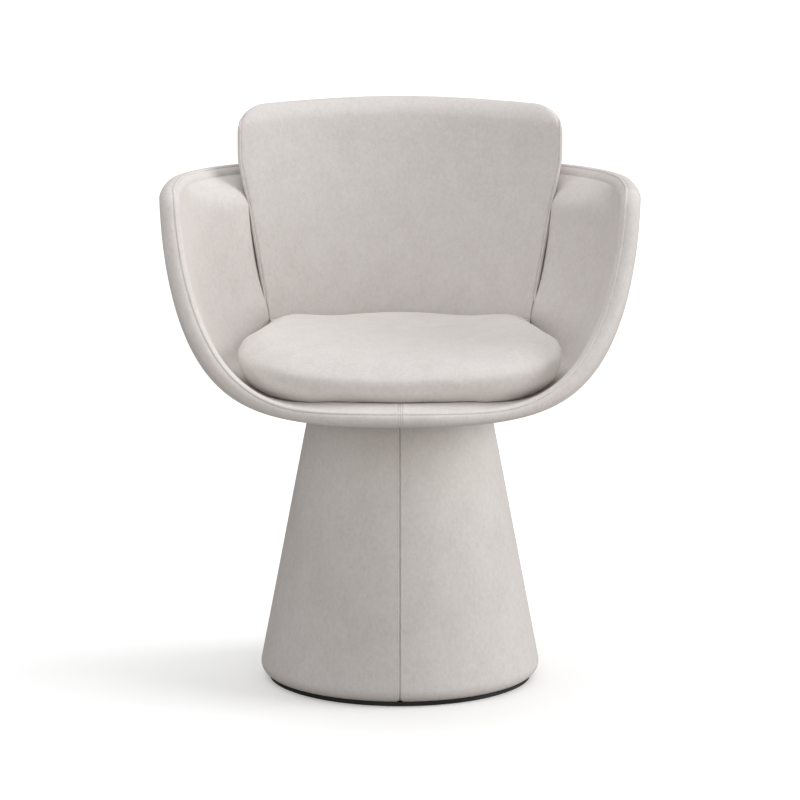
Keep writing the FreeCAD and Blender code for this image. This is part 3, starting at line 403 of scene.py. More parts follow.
def shell_normal(bearing, climb):
    step = 1e-4
    around = shell_point(bearing + step, climb) - shell_point(bearing - step, climb)
    up = shell_point(bearing, climb + step) - shell_point(bearing, climb - step)
    return unit(np.cross(around, up))


def rim_climb(bearing):
    return np.arccos(1 - (rim_level(bearing) - SHELL_FLOOR) / (SHELL_TOP - SHELL_FLOOR))


def rim_point(bearing):
    return shell_point(bearing, rim_climb(bearing))


def lip_to_arm(lip, arm, bearing):
    turn = np.degrees(np.abs(bearing))
    return lip + (arm - lip) * ease(turn, WALL_TURN_FROM, WALL_TURN_TO)


def lining(bearing, share):
    """Extra thickness of the inner side: full beside the back pad, and a roll behind the front lip."""
    turn = np.degrees(np.abs(bearing))
    beside = ease(turn, BESIDE_FROM, BESIDE_FULL) * (1 - ease(turn, BESIDE_FULL, BESIDE_TO))
    beside *= ease(share, BESIDE_LOW, BESIDE_HIGH)
    beside *= 1 - (max(share - BESIDE_TOP, 0) / (1 - BESIDE_TOP)) ** 2
    roll = 1 - ease(turn, ROLL_FADE, ROLL_TO)
    roll *= ease(share, ROLL_LOW, ROLL_CROWN) * (1 - ease(share, ROLL_CROWN, 1))
    return LINING_THICK * beside + ROLL_HIGH * roll


SEAM_STEPS = [0, 0.5, 1.0, 1.5, 2.0, 2.4, 2.8, 3.2, 3.7, 4.4, 5.4, 7, 9.5, 13]


def shell_bearings():
    """Close together at the two middle seams, closer where the rim rises steeply."""
    near = [math.atan(step * MM / 0.30) for step in SEAM_STEPS]
    half = list(near)
    end = math.pi - near[-1]
    while half[-1] < end - 0.02:
        steep = 20 < math.degrees(half[-1]) < 80
        half.append(half[-1] + math.radians(1.0 if steep else 1.9))
    half[-1] = end
    half += [math.pi - angle for angle in reversed(near[:-1])]
    return np.array([-angle for angle in reversed(half[1:-1])] + half)


class ShellSections:
    """Upright sections of the shell at every bearing."""

    def __init__(self, bearings, rows):
        self.bearings = bearings
        self.rows = rows
        step = 1e-3
        climb = rim_climb(bearings)
        tangent = unit(rim_point(bearings + step) - rim_point(bearings - step))
        self.normal = shell_normal(bearings, climb)
        self.outward = np.cross(self.normal, tangent)
        self.wall = lip_to_arm(WALL_LIP, WALL_ARM, bearings)
        turn = np.degrees(np.abs(bearings))
        self.seam = WELT_LIP + (WELT_ARM - WELT_LIP) * ease(turn, WELT_TURN_FROM, WELT_TURN_TO)
        self.centre = rim_point(bearings) - self.normal * (self.wall / 2)[:, None]
        self.shares = 1 - (1 - np.linspace(0, 1, rows)) ** 1.6
        self.climbs = self.even_climbs(climb)

    def even_climbs(self, top):
        """Climb angles at the shares of each section's length from the hole to the rim."""
        low = np.arcsin((SHELL_HOLE / shell_reach(self.bearings)) ** (heel(self.bearings) / 2))
        climbs = np.empty((self.rows, len(self.bearings)))
        fine = np.linspace(0, 1, 200)
        for i, bearing in enumerate(self.bearings):
            values = low[i] + (top[i] - low[i]) * fine
            points = shell_point(np.full(200, bearing), values)
            run = np.concatenate([[0], np.cumsum(np.linalg.norm(np.diff(points, axis=0), axis=1))])
            climbs[:, i] = np.interp(self.shares * run[-1], run, values)
        return climbs

    def face(self, inner):
        """Rows of points and normals of the outer or the inner face, without the rim row."""
        rows, normals = [], []
        seam = np.where(np.abs(self.bearings) < math.pi / 2, 0, math.pi * np.sign(self.bearings))
        away = self.bearings - seam
        rim_out = np.linalg.norm(rim_point(self.bearings)[:, :2], axis=1)
        for share, climb in zip(self.shares[:-1], self.climbs[:-1]):
            out = np.linalg.norm(shell_point(self.bearings, climb)[:, :2], axis=1)
            spread = 1 + (rim_out / out - 1) * (1 - ease(np.degrees(np.abs(away)), 2, 30))
            bearing = seam + away * spread
            normal = shell_normal(bearing, climb)
            wall = WALL_FLOOR + (self.wall - WALL_FLOOR) * ease(share, 0, 1)
            into = wall + lining(bearing, share) if inner else 0 * wall
            rows.append(shell_point(bearing, climb) - normal * into[:, None])
            normals.append(-normal if inner else normal)
        return rows, normals

    def edge_normal(self, turn):
        turn = np.radians(turn)
        return self.normal * np.cos(turn)[:, None] + self.outward * np.sin(turn)[:, None]

    def edge(self, turn, inset):
        return self.centre + self.edge_normal(turn) * (self.wall / 2 - inset)[:, None]


CREASE_DEEP, CREASE_WIDE = 1.4 * MM, 1.5 * MM
FOLD_DEEP, FOLD_WIDE = 0.9 * MM, 0.7 * MM
STITCH_OUT, STITCH_DEEP, STITCH_WIDE = 2.7 * MM, 0.45 * MM, 0.55 * MM
SEAM_PUFF = 0.35 * MM
SEAM_RELIEF_HALF = 12 * MM
EDGE_STEPS, WELT_REACH = 18, 1.3 * MM


def seam_relief(across):
    """Depth of the double-stitched middle seam at a distance across it."""
    across = np.abs(across)
    fold = FOLD_DEEP * bell(across, FOLD_WIDE)
    stitched = STITCH_DEEP * bell(across - STITCH_OUT, STITCH_WIDE)
    puffed = SEAM_PUFF * (bell(across - 1.4 * MM, 0.8 * MM) + bell(across - 5.0 * MM, 2.0 * MM))
    return fold + stitched - puffed


def shell_cover(name, sections, inner):
    """Cloth from the hole under the seat up to the welt, pulled into the welt's seam."""
    rows, normals = sections.face(inner)
    for k in range(EDGE_STEPS + 1):
        share = 1 - (1 - k / EDGE_STEPS) ** 1.5
        stop = np.degrees(WELT_REACH / (sections.wall / 2))
        if inner:
            turn = 180 + (sections.seam + stop - 180) * share
        else:
            turn = (sections.seam - stop) * share
        off = np.radians(np.abs(turn - sections.seam)) * sections.wall / 2
        inset = CREASE_DEEP * bell(off, CREASE_WIDE)
        rows.append(sections.edge(turn, inset))
        normals.append(sections.edge_normal(turn))
    points = np.array(rows)
    across = points[:, :, 0]
    depth = seam_relief(across) * (np.abs(across) < SEAM_RELIEF_HALF)
    points = points - np.array(normals) * depth[:, :, None]
    faces = grid_faces(points.shape[0], points.shape[1])
    piece = new_piece(name, points.reshape(-1, 3), faces, brushed_microfibre)
    if inner:
        piece.data.flip_normals()
    add_modifier(piece, "SOLIDIFY", thickness=CLOTH, offset=-1.0)
    return piece, points, np.array(normals)


sections = ShellSections(shell_bearings(), 60)
outer_cover, outer_points, outer_normals = shell_cover("shell_outer_cover", sections, False)
inner_cover, inner_points, inner_normals = shell_cover("shell_inner_cover", sections, True)
bake(outer_cover)
bake(inner_cover)
inner_sheet = BVHTree.FromPolygons(
    [Vector(point) for point in inner_points.reshape(-1, 3)],
    [tuple(reversed(face)) for face in grid_faces(inner_points.shape[0], inner_points.shape[1])])


# Sewn cords and stitches, made by geometry nodes along a path

def add_input(tree, name, kind, value=None):
    socket = tree.interface.new_socket(name, in_out="INPUT", socket_type=kind)
    if value is not None:
        socket.default_value = value
    return socket


def start_tree(name, inputs):
    tree = bpy.data.node_groups.new(name, "GeometryNodeTree")
    add_input(tree, "Path", "NodeSocketGeometry")
    for label, kind, value in inputs:
        add_input(tree, label, kind, value)
    add_input(tree, "Finish", "NodeSocketMaterial")
    tree.interface.new_socket("Geometry", in_out="OUTPUT", socket_type="NodeSocketGeometry")
    return tree, add_node(tree, "NodeGroupInput")


def end_tree(tree, start, geometry):
    real = add_node(tree, "GeometryNodeRealizeInstances", links={"Geometry": geometry})
    smooth = add_node(tree, "GeometryNodeSetShadeSmooth", links={"Geometry": real.outputs[0]})
    finish = add_node(tree, "GeometryNodeSetMaterial", links={
        "Geometry": smooth.outputs[0], "Material": start.outputs["Finish"]})
    add_node(tree, "NodeGroupOutput", links={"Geometry": finish.outputs[0]})
    return tree


def cord_tree():
    """A round cord of cloth along the path."""
    tree, start = start_tree("sewn_cord", [
        ("Radius", "NodeSocketFloat", WELT_RADIUS), ("Sides", "NodeSocketInt", 14)])
    path = add_node(tree, "GeometryNodeMeshToCurve", links={"Mesh": start.outputs["Path"]})
    round_ = add_node(tree, "GeometryNodeCurvePrimitiveCircle", links={
        "Radius": start.outputs["Radius"], "Resolution": start.outputs["Sides"]})
    tube = add_node(tree, "GeometryNodeCurveToMesh", links={
        "Curve": path.outputs[0], "Profile Curve": round_.outputs[0]})
    return end_tree(tree, start, tube.outputs[0])


def stitch_tree():
    """A row of stitches along the path: each a slim lozenge of thread that dips in at both ends."""
    tree, start = start_tree("topstitch_row", [
        ("Pitch", "NodeSocketFloat", 3.4 * MM), ("Stitch Length", "NodeSocketFloat", 2.9 * MM),
        ("Thread Radius", "NodeSocketFloat", 0.28 * MM)])
    path = add_node(tree, "GeometryNodeMeshToCurve", links={"Mesh": start.outputs["Path"]})
    marks = add_node(tree, "GeometryNodeCurveToPoints", {"mode": "LENGTH"}, links={
        "Curve": path.outputs[0], "Length": start.outputs["Pitch"]})
    thread = add_node(tree, "GeometryNodeMeshUVSphere", inputs={
        "Segments": 8, "Rings": 6, "Radius": 1.0})
    half = add_node(tree, "ShaderNodeMath", {"operation": "MULTIPLY"}, {1: 0.5},
                    {0: start.outputs["Stitch Length"]})
    slim = add_node(tree, "ShaderNodeCombineXYZ", links={
        "X": start.outputs["Thread Radius"], "Y": start.outputs["Thread Radius"], "Z": half.outputs[0]})
    laid = add_node(tree, "GeometryNodeInstanceOnPoints", links={
        "Points": marks.outputs["Points"], "Instance": thread.outputs["Mesh"],
        "Rotation": marks.outputs["Rotation"], "Scale": slim.outputs[0]})
    return end_tree(tree, start, laid.outputs[0])


CORD_TREE = cord_tree()
STITCH_TREE = stitch_tree()


def run_tree(name, tree, paths, closed, material, **sizes):
    """A new piece that a geometry-nodes tree makes along the paths."""
    points, edges = [], []
    for path in paths:
        first = len(points)
        points += [tuple(point) for point in path]
        edges += [(first + i, first + i + 1) for i in range(len(path) - 1)]
        if closed:
            edges.append((len(points) - 1, first))
    mesh = bpy.data.meshes.new(name)
    mesh.from_pydata(points, edges, [])
    piece = bpy.data.objects.new(name, mesh)
    scene.collection.objects.link(piece)
    modifier = piece.modifiers.new("nodes", "NODES")
    modifier.node_group = tree
    values = dict(sizes, finish=material)
    for item in tree.interface.items_tree:
        key = item.name.lower().replace(" ", "_")
        if item.in_out == "INPUT" and key in values:
            modifier[item.identifier] = values[key]
    return bake(piece)


welt_path = sections.edge(sections.seam, np.full(len(sections.bearings), -WELT_LIFT))
rim_welt = clean(run_tree(
    "shell_rim_welt", CORD_TREE, [welt_path], True, brushed_microfibre, radius=WELT_RADIUS, sides=14))


def seam_lines(points, normals, middle, rows):
    """Paths of the two stitch rows beside a middle seam, just proud of the cloth."""
    lines = []
    for side in (-1, 1):
        line = []
        for i in rows:
            row = points[i]
            near = np.abs(row[:, 1] - row[middle, 1]) < 20 * MM
            near &= np.sign(row[:, 0]) == side
            choice = np.where(near)[0]
            pick = choice[np.argsort(np.abs(np.abs(row[choice, 0]) - STITCH_OUT))[:1]][0]
            line.append(row[pick] + normals[i][pick] * 0.1 * MM)
        lines.append(np.array(line))
    return lines


front_column = int(np.argmin(np.abs(sections.bearings)))
back_column = int(np.argmax(sections.bearings))
row_count = outer_points.shape[0]
stitch_lines = []
for column in (front_column, back_column):
    stitch_lines += seam_lines(outer_points, outer_normals, column, range(4, row_count - 2))
    stitch_lines += seam_lines(inner_points, inner_normals, column, range(30, row_count - 2))
shell_stitches = run_tree(
    "shell_topstitches", STITCH_TREE, stitch_lines, False, topstitch_thread,
    pitch=3.4 * MM, stitch_length=2.9 * MM, thread_radius=0.28 * MM)

# Pedestal cover: a cone turned about the swivel axis, sewn edge to edge at the front and the back

FOOT_RADIUS, TOP_RADIUS, TOP_LEVEL = 0.1977, 0.1246, 0.379
HEM_LOW, HEM_WIDE, FOOT_ROUND, SHOULDER_ROUND = 6.5 * MM, 24 * MM, 16 * MM, 7 * MM


def rounded_line(corners):
    """Points of a line whose corners (x, z, round) are turned into arcs."""
    line = []
    for i, (x, z, radius) in enumerate(corners):
        here = np.array([x, z])
        if radius == 0:
            line.append(here)
            continue
        before = unit(np.array(corners[i - 1][:2]) - here)
        after = unit(np.array(corners[i + 1][:2]) - here)
        half = math.acos(float(np.clip(before @ after, -1, 1))) / 2
        centre = here + unit(before + after) * radius / math.sin(half)
        start = here + before * radius / math.tan(half) - centre
        end = here + after * radius / math.tan(half) - centre
        sweep = math.atan2(start[0] * end[1] - start[1] * end[0], float(start @ end))
        for share in np.linspace(0, 1, 12):
            turn = sweep * share
            line.append(centre + np.array([start[0] * math.cos(turn) - start[1] * math.sin(turn),
                                           start[0] * math.sin(turn) + start[1] * math.cos(turn)]))
    return line


def cone_tree():
    """Turns a profile about the axis, with the columns crowded at the front and back seams."""
    tree, start = start_tree("turned_cover", [
        ("Columns", "NodeSocketInt", 420), ("Rows", "NodeSocketInt", 110),
        ("Crowding", "NodeSocketFloat", 0.47)])
    profile = add_node(tree, "GeometryNodeMeshToCurve", links={"Mesh": start.outputs["Path"]})
    sheet = add_node(tree, "GeometryNodeMeshGrid", inputs={"Size X": 1.0, "Size Y": 1.0}, links={
        "Vertices X": start.outputs["Columns"], "Vertices Y": start.outputs["Rows"]})
    place = add_node(tree, "GeometryNodeInputPosition")
    share = add_node(tree, "ShaderNodeSeparateXYZ", links={0: place.outputs[0]})
    circle = add_node(tree, "ShaderNodeMath", {"operation": "MULTIPLY_ADD"},
                      {1: 2 * math.pi, 2: math.pi}, {0: share.outputs["X"]})
    twice = add_node(tree, "ShaderNodeMath", {"operation": "MULTIPLY"}, {1: -2.0},
                     {0: circle.outputs[0]})
    wave = add_node(tree, "ShaderNodeMath", {"operation": "SINE"}, links={0: twice.outputs[0]})
    turn = add_node(tree, "ShaderNodeMath", {"operation": "MULTIPLY_ADD"}, links={
        0: wave.outputs[0], 1: start.outputs["Crowding"], 2: circle.outputs[0]})
    up = add_node(tree, "ShaderNodeMath", {"operation": "ADD"}, {1: 0.5}, {0: share.outputs["Y"]})
    along = add_node(tree, "GeometryNodeSampleCurve", {"mode": "FACTOR"}, links={
        "Curves": profile.outputs[0], "Factor": up.outputs[0]})
    point = add_node(tree, "ShaderNodeVectorRotate", {"rotation_type": "Z_AXIS"}, links={
        "Vector": along.outputs["Position"], "Angle": turn.outputs[0]})
    turned = add_node(tree, "GeometryNodeSetPosition", links={
        "Geometry": sheet.outputs["Mesh"], "Position": point.outputs[0]})
    merged = add_node(tree, "GeometryNodeMergeByDistance", inputs={"Distance": 0.02 * MM},
                      links={"Geometry": turned.outputs[0]})
    return end_tree(tree, start, merged.outputs[0])


EDGE_DEEP, EDGE_WIDE, LIP_HIGH = 2.6 * MM, 0.75 * MM, 0.45 * MM
NOTCH_DEEP, NOTCH_WIDE, NOTCH_HIGH = 5.0 * MM, 1.5 * MM, 7.0 * MM


def sew_pedestal(piece):
    """Sinks the two upright seams, lifts the lip on their left, and opens a notch at the hem."""
    points = coordinates(piece)
    x, z = points[:, 0], points[:, 2]
    low = 1 - ease(z, HEM_LOW, HEM_LOW + NOTCH_HIGH)
    sunk = (EDGE_DEEP + NOTCH_DEEP * low) * bell(x, EDGE_WIDE + NOTCH_WIDE * low)
    lip = LIP_HIGH * bell(x + 1.9 * MM, 1.1 * MM) + 0.5 * LIP_HIGH * bell(x - 1.9 * MM, 1.1 * MM)
    set_coordinates(piece, points - vertex_normals(piece) * (sunk - lip * (1 - low))[:, None])


cone_profile = rounded_line([
    (FOOT_RADIUS - HEM_WIDE, HEM_LOW, 0),
    (FOOT_RADIUS - 1.0 * MM, HEM_LOW, FOOT_ROUND),
    (TOP_RADIUS, TOP_LEVEL, SHOULDER_ROUND),
    (TOP_RADIUS - HEM_WIDE, TOP_LEVEL, 0),
])
cone_path = [(0, -x, z) for x, z in cone_profile]
pedestal_cover = run_tree(
    "pedestal_cover", cone_tree(), [cone_path], False, brushed_microfibre_upright,
    columns=420, rows=110)
clean(pedestal_cover)
sew_pedestal(pedestal_cover)
add_modifier(pedestal_cover, "SOLIDIFY", thickness=CLOTH, offset=-1.0)
bake(pedestal_cover)


# Stuffed pieces: a closed form, swelled as cloth, and kept off its neighbours; the cushion is remeshed
# first

def neighbour_means(piece):
    """A function that evens out a value per vertex over the mesh's edges."""
    edges = np.empty(len(piece.data.edges) * 2, dtype=int)
    piece.data.edges.foreach_get("vertices", edges)
    first, second = edges.reshape(-1, 2).T
    count = np.bincount(edges, minlength=len(piece.data.vertices))[:, None]

    def even_out(values, rounds):
        for _ in range(rounds):
            total = np.zeros_like(values)
            np.add.at(total, first, values[second])
            np.add.at(total, second, values[first])
            values = 0.5 * values + 0.5 * total / count
        return values
    return even_out


def puff(piece, pressure, cap, grow, rounds):
    """Grows a closed form, then swells it as cloth under a light pressure, no further than the cap.
    """
    rest = coordinates(piece) + vertex_normals(piece) * grow
    even_out = neighbour_means(piece)
    set_coordinates(piece, even_out(rest, 2))
    start = coordinates(piece)
    cloth = piece.modifiers.new("cloth", "CLOTH")
    cloth.settings.use_pressure = True
    cloth.settings.uniform_pressure_force = pressure
    cloth.settings.effector_weights.gravity = 0
    cloth.settings.quality = 5
    cloth.point_cache.frame_start = 1
    cloth.point_cache.frame_end = 20
    for number in range(1, 21):
        scene.frame_set(number)
    graph = bpy.context.evaluated_depsgraph_get()
    mesh = bpy.data.meshes.new_from_object(piece.evaluated_get(graph), depsgraph=graph)
    swelled = np.empty(len(mesh.vertices) * 3)
    mesh.vertices.foreach_get("co", swelled)
    swelled = swelled.reshape(-1, 3)
    bpy.data.meshes.remove(mesh)
    piece.modifiers.clear()
    scene.frame_set(1)
    moved = swelled - start
    length = np.linalg.norm(moved, axis=1, keepdims=True)
    moved *= np.minimum(1, cap / np.maximum(length, 1e-9))
    set_coordinates(piece, rest + even_out(moved, rounds))
    return piece


def keep_off(piece, skin, clearance, reach=30 * MM):
    """Presses the piece back where it comes nearer to a skin than the clearance."""
    points = coordinates(piece)
    for i, point in enumerate(points):
        near, normal, _, distance = skin.find_nearest(Vector(point), reach)
        if near is not None and (Vector(point) - near).dot(normal) < clearance:
            points[i] = near + normal * clearance
    set_coordinates(piece, points)


def smooth_loop(points, count):
    """A closed curve through the points, evenly divided."""
    points = np.array(points, dtype=float)
    before, after = np.roll(points, 1, axis=0), np.roll(points, -1, axis=0)
    second = np.roll(points, -2, axis=0)
    fine = []
    for i in range(len(points)):
        for t in np.linspace(0, 1, 24, endpoint=False):
            a, b, c, d = before[i], points[i], after[i], second[i]
            fine.append(0.5 * (2 * b + (c - a) * t + (2 * a - 5 * b + 4 * c - d) * t * t
                               + (3 * b - a - 3 * c + d) * t ** 3))
    fine = np.array(fine + [fine[0]])
    run = np.concatenate([[0], np.cumsum(np.linalg.norm(np.diff(fine, axis=0), axis=1))])
    steps = np.linspace(0, run[-1], count, endpoint=False)
    return np.stack([np.interp(steps, run, fine[:, k]) for k in range(fine.shape[1])], axis=1)


def closed_rings(name, rings):
    """A closed form through rings of points, its two ends filled by a fan."""
    count = len(rings[0])
    points = np.concatenate(rings)
    faces = grid_faces(len(rings), count)
    ends = [rings[0].mean(axis=0), rings[-1].mean(axis=0)]
    total = len(points)
    points = np.concatenate([points, ends])
    for j in range(count):
        k = (j + 1) % count
        faces.append((total, k, j))
        last = total - count
        faces.append((total + 1, last + j, last + k))
    return clean(new_piece(name, points, faces, None))


# Back pad, drawn upright at its foot and leaned back: x across, y into the pad, z up its face

PAD_PLACE, PAD_LEAN = np.array([0, 0.163, 0.455]), math.radians(10.8)
PAD_HIGH, PAD_THICK = 0.3520, 0.0485
PAD_FRONT_RADIUS, PAD_REAR_RADIUS = 0.400, 0.335
PAD_FOOT_HALF, PAD_TOP_HALF, PAD_SLOPE = 0.1865, 0.2290, 5.77
PAD_CORNER, PAD_FOOT_CORNER, PAD_ARCH, PAD_BULGE = 36 * MM, 9 * MM, 27 * MM, 5 * MM
PAD_EASE, PIPING_RADIUS = 12 * MM, 1.5 * MM
# Rings of the pad from the front panel's edge to the rear panel's: inset and depth in mm at the
# sides, then along the top, where the front panel rolls right over and the seam lies behind
PAD_RINGS = [
    (14, 0, 31, 0), (9, 0.1, 25, 1.4), (6.6, 0.5, 18, 4.2), (5.6, 1.1, 11, 9),
    (5.0, 1.9, 5.2, 16), (4.4, 3, 1.6, 23), (3.9, 4.1, 0.1, 30), (3.4, 4.6, 2.2, 36.5),
    (2.8, 4.9, 4.2, 39.5), (2, 5.2, 5.6, 41), (1.2, 6.2, 7.2, 42.4), (0.6, 8, 8.8, 43.4),
    (0.2, 10.5, 10.4, 44.3), (0, 17, 12.2, 45.1), (0, 25, 14.2, 45.8), (0.2, 33, 16.6, 46.5),
    (1.2, 40, 19.4, 47.1), (3.8, 45, 22.6, 47.7), (8.6, 47.6, 26.4, 48.2), (16, 48.5, 31, 48.5),
]
SEAM_RING, PIPING_OUT = 7, 1.2 * MM


def lean_back(points):
    x, y, z = np.asarray(points).T
    c, s = math.cos(PAD_LEAN), math.sin(PAD_LEAN)
    return np.stack([x, y * c + z * s, z * c - y * s], axis=1) + PAD_PLACE


def pad_outline(count):
    """The pad seen square on: sides that draw in to the foot, rounded corners, an arched top."""
    right = []
    for x in np.linspace(0, PAD_TOP_HALF, 600):
        past = max(x - (PAD_TOP_HALF - PAD_CORNER), 0) / PAD_CORNER
        corner = PAD_CORNER * (1 - math.sqrt(max(1 - past * past, 0)))
        right.append((x, PAD_HIGH - PAD_ARCH * (x / PAD_TOP_HALF) ** 2 - corner))
    high, low = right[-1][1], (PAD_TOP_HALF - PAD_FOOT_HALF) * PAD_SLOPE
    for z in np.linspace(high, PAD_FOOT_CORNER, 80)[1:]:
        past = PAD_EASE * (1 - math.exp(-max(z - low, 0) / PAD_EASE))
        right.append((PAD_FOOT_HALF + min(z, low + past) / PAD_SLOPE, z))
    for turn in np.radians(np.linspace(0, 90, 8)[1:]):
        right.append((PAD_FOOT_HALF - PAD_FOOT_CORNER * (1 - math.cos(turn)),
                      PAD_FOOT_CORNER * (1 - math.sin(turn))))
    for x in np.linspace(PAD_FOOT_HALF - PAD_FOOT_CORNER, 0, 30)[1:]:
        right.append((x, 0))
    right = np.array(right)
    right[:, 0] = np.minimum(right[:, 0], PAD_TOP_HALF)
    loop = np.concatenate([right, (right * [-1, 1])[::-1][1:]])
    run = np.concatenate([[0], np.cumsum(np.linalg.norm(np.diff(loop, axis=0), axis=1))])
    steps = np.linspace(0, run[-1], count, endpoint=False)
    return np.stack([np.interp(steps, run, loop[:, k]) for k in range(2)], axis=1)


def arc_depth(x, radius, middle):
    return middle - radius + np.sqrt(radius ** 2 - x ** 2)


def pad_ring(outline, inset, depth):
    """A ring of the pad, drawn in from its outline, at a depth share from front 0 to rear 1."""
    ahead = np.roll(outline, -1, axis=0) - np.roll(outline, 1, axis=0)
    inward = unit(np.stack([ahead[:, 1], -ahead[:, 0]], axis=1))
    centre = np.array([0, PAD_HIGH / 2])
    inward *= np.sign(np.sum(inward * (centre - outline), axis=1))[:, None]
    ring = outline + inward * np.asarray(inset)[..., None]
    x = ring[:, 0]
    front = arc_depth(x, PAD_FRONT_RADIUS, 0)
    rear = arc_depth(x, PAD_REAR_RADIUS, PAD_THICK)
    return np.stack([x, front + (rear - front) * depth, ring[:, 1]], axis=1)


def make_pad():
    outline = pad_outline(260)
    z = outline[:, 1]
    along = unit(np.roll(outline, -1, axis=0) - np.roll(outline, 1, axis=0))
    over = ease(np.abs(along[:, 0]), 0.10, 0.97) * (z > PAD_HIGH / 2)
    foot = 1 - ease(z, 20 * MM, 60 * MM)
    rings = []
    for inset, depth, top_inset, top_depth in PAD_RINGS:
        inset = (inset + (top_inset - inset) * over) * (1 - 0.6 * foot) * MM
        depth = (depth + (top_depth - depth) * over) * MM / PAD_THICK
        rings.append(pad_ring(outline, inset, depth))
    centre = np.array([0, 0, PAD_HIGH / 2])
    front, rear = [], []
    for share in (0.94, 0.86, 0.76, 0.64, 0.50, 0.36, 0.22, 0.10):
        for panel, edge, curve, middle in (
                (front, rings[0], PAD_FRONT_RADIUS, 0),
                (rear, rings[-1], PAD_REAR_RADIUS, PAD_THICK)):
            spoke = (edge - centre) * [1, 0, 1]
            rounder = unit(spoke) * np.linalg.norm(spoke, axis=1).mean()
            ring = centre + (spoke * (0.2 + 0.8 * share) + rounder * 0.8 * (1 - share)) * share
            ring[:, 1] = arc_depth(ring[:, 0], curve, middle)
            panel.append(ring)
    for ring in [*front, *rings]:
        wide = np.clip(ring[:, 0] / (PAD_FOOT_HALF + ring[:, 2] / PAD_SLOPE), -1, 1)
        high = np.clip(2 * ring[:, 2] / PAD_HIGH - 1, -1, 1)
        ring[:, 1] -= PAD_BULGE * ((1 - wide ** 2) * (1 - high ** 2)) ** 0.8
    pad = closed_rings("back_pad", [lean_back(ring) for ring in [*front[::-1], *rings, *rear]])
    puff(pad, 2.0, 2.5 * MM, 0.4 * MM, 30)
    count = len(outline)
    first = (len(front) + SEAM_RING) * count
    seam = coordinates(pad)[first:first + count]
    path = seam + vertex_normals(pad)[first:first + count] * PIPING_OUT
    add_modifier(pad, "SUBSURF", levels=1, render_levels=1)
    bake(pad)
    keep_off(pad, inner_sheet, 0.8 * MM, 20 * MM)
    pad.data.materials.append(brushed_microfibre)
    pad.data.polygons.foreach_set("use_smooth", [True] * len(pad.data.polygons))
    cord = clean(run_tree(
        "back_pad_piping", CORD_TREE, [path], True, brushed_microfibre, radius=PIPING_RADIUS, sides=12))
    return pad, cord


# Seat cushion: oblong plan narrower behind, widest low down, crowned top that rises to the rear,
# and sides that lie higher than the middle in the bowl of the shell

CUSHION_LOW, CUSHION_WIDEST, CUSHION_HIGH = 0.4156, 0.446, 0.483
CUSHION_HALF, CUSHION_FRONT, CUSHION_REAR, CUSHION_RISE = 0.220, 0.265, 0.160, 0.045
CUSHION_BOWL = 18 * MM


def fullness(level, upper_power, base, lower_power):
    if level >= CUSHION_WIDEST:
        away = min((level - CUSHION_WIDEST) / (CUSHION_HIGH - CUSHION_WIDEST), 1.0)
        return max(1 - away ** upper_power, 0) ** (1 / upper_power)
    away = min((CUSHION_WIDEST - level) / (CUSHION_WIDEST - CUSHION_LOW), 1.0)
    return base + (1 - base) * max(1 - away ** lower_power, 0) ** (1 / lower_power)


def cushion_ring(level):
    half = CUSHION_HALF * fullness(level, 4.5, 0.66, 1.8)
    front = CUSHION_FRONT * fullness(level, 2.3, 0.80, 2.1)
    rear = CUSHION_REAR * fullness(level, 4.5, 0.66, 1.8)
    hollow = 0.085 * half
    plan = [(0, rear), (0.60 * half, rear - hollow), (0.83 * half, rear - 1.9 * hollow),
            (0.885 * half, 0.50 * rear), (0.96 * half, -0.12 * front), (half, -0.50 * front),
            (0.90 * half, -0.78 * front), (0.62 * half, -0.945 * front), (0, -front)]
    rise = CUSHION_RISE * max(level - CUSHION_WIDEST, 0) / (CUSHION_HIGH - CUSHION_WIDEST)
    loop = [(x, y, level + rise * y) for x, y in plan]
    loop += [(-x, y, z) for x, y, z in reversed(loop[1:-1])]
    return smooth_loop(loop, 160)


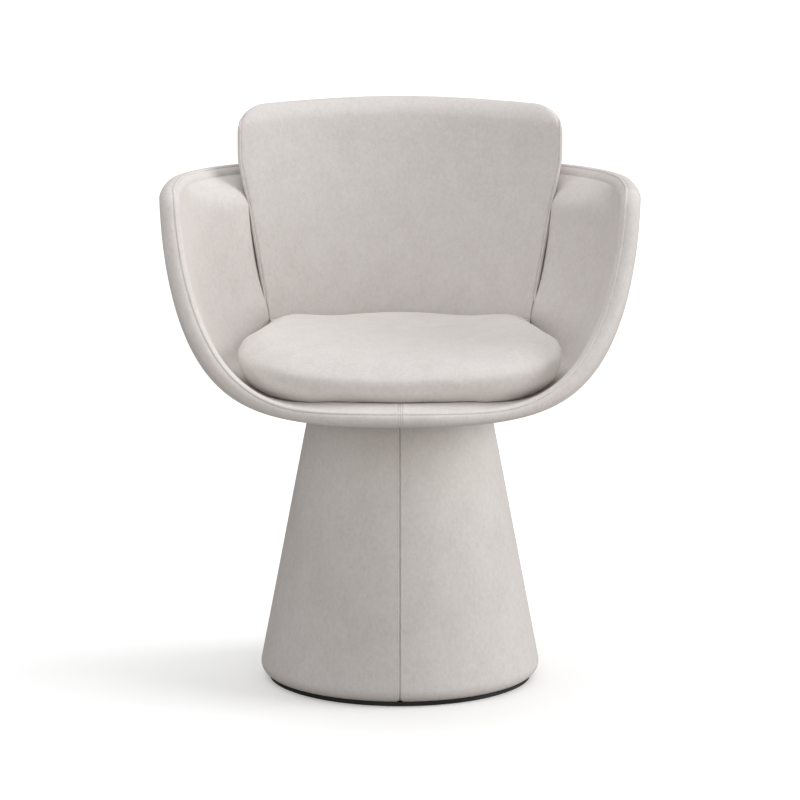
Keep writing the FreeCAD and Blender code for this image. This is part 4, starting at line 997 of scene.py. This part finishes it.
def make_cushion():
    turns = np.radians(np.linspace(0, 88, 14))
    lower = CUSHION_WIDEST - (CUSHION_WIDEST - CUSHION_LOW) * np.cos(turns) ** 0.8
    upper = CUSHION_WIDEST + (CUSHION_HIGH - CUSHION_WIDEST) * np.sin(turns[1:]) ** 0.8
    cushion = closed_rings("seat_cushion", [cushion_ring(level) for level in [*lower, *upper]])
    add_modifier(cushion, "REMESH", mode="VOXEL", voxel_size=5.0 * MM, use_smooth_shade=True)
    bake(cushion)
    add_modifier(cushion, "SMOOTH", factor=0.5, iterations=6)
    bake(cushion)
    puff(cushion, 4.0, 6.0 * MM, 1.6 * MM, 6)
    add_modifier(cushion, "SMOOTH", factor=0.5, iterations=4)
    add_modifier(cushion, "SUBSURF", levels=1, render_levels=1)
    bake(cushion)
    points = coordinates(cushion)
    x, y, z = points.T
    over = ease(z, CUSHION_WIDEST, CUSHION_WIDEST + 20 * MM)
    rear = ease(y, -40 * MM, 130 * MM)
    dips = bell(x - 0.102, 34 * MM) + bell(x + 0.102, 34 * MM)
    z -= 3.0 * MM * dips * rear * over
    side = (x / CUSHION_HALF) ** 2 * (0.30 + 0.70 * ease(z, CUSHION_LOW, CUSHION_WIDEST + 8 * MM))
    z += 3.0 * MM * bell(x, 70 * MM) * rear * over
    z[:] = np.maximum(z, CUSHION_LOW) + CUSHION_BOWL * side * (1 - 0.30 * rear)
    set_coordinates(cushion, points)
    pad_skin = BVHTree.FromObject(back_pad, bpy.context.evaluated_depsgraph_get())
    keep_off(cushion, pad_skin, 0.6 * MM)
    keep_off(cushion, inner_sheet, 0.8 * MM)
    cushion.data.materials.append(brushed_microfibre)
    cushion.data.polygons.foreach_set("use_smooth", [True] * len(cushion.data.polygons))
    return cushion


back_pad, back_pad_piping = make_pad()
seat_cushion = make_cushion()

# Riding, replacing, and finishes for the CAD parts

SEAT_PIECES = (
    outer_cover, inner_cover, rim_welt, shell_stitches, seat_cushion, back_pad, back_pad_piping)
for piece in SEAT_PIECES:
    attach(piece, "seat")
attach(pedestal_cover, "pedestal")
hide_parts("outer_cover_left", "outer_cover_right", "tub_foam_left", "tub_foam_right")
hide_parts("inner_cover_left", "inner_cover_right")
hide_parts("rim_welt_left", "rim_welt_right")
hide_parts("seat_cushion_cover", "seat_cushion_foam")
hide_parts("back_pad_cover", "back_pad_foam")
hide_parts("pedestal_cover_left", "pedestal_cover_right", "pedestal_padding")

for name, node in frame["nodes"].items():
    finish = FINISHES[NODE_FINISH[name]]
    for index in range(max(len(node.data.materials), 1)):
        if index < len(node.data.materials):
            node.data.materials[index] = finish
        else:
            node.data.materials.append(finish)
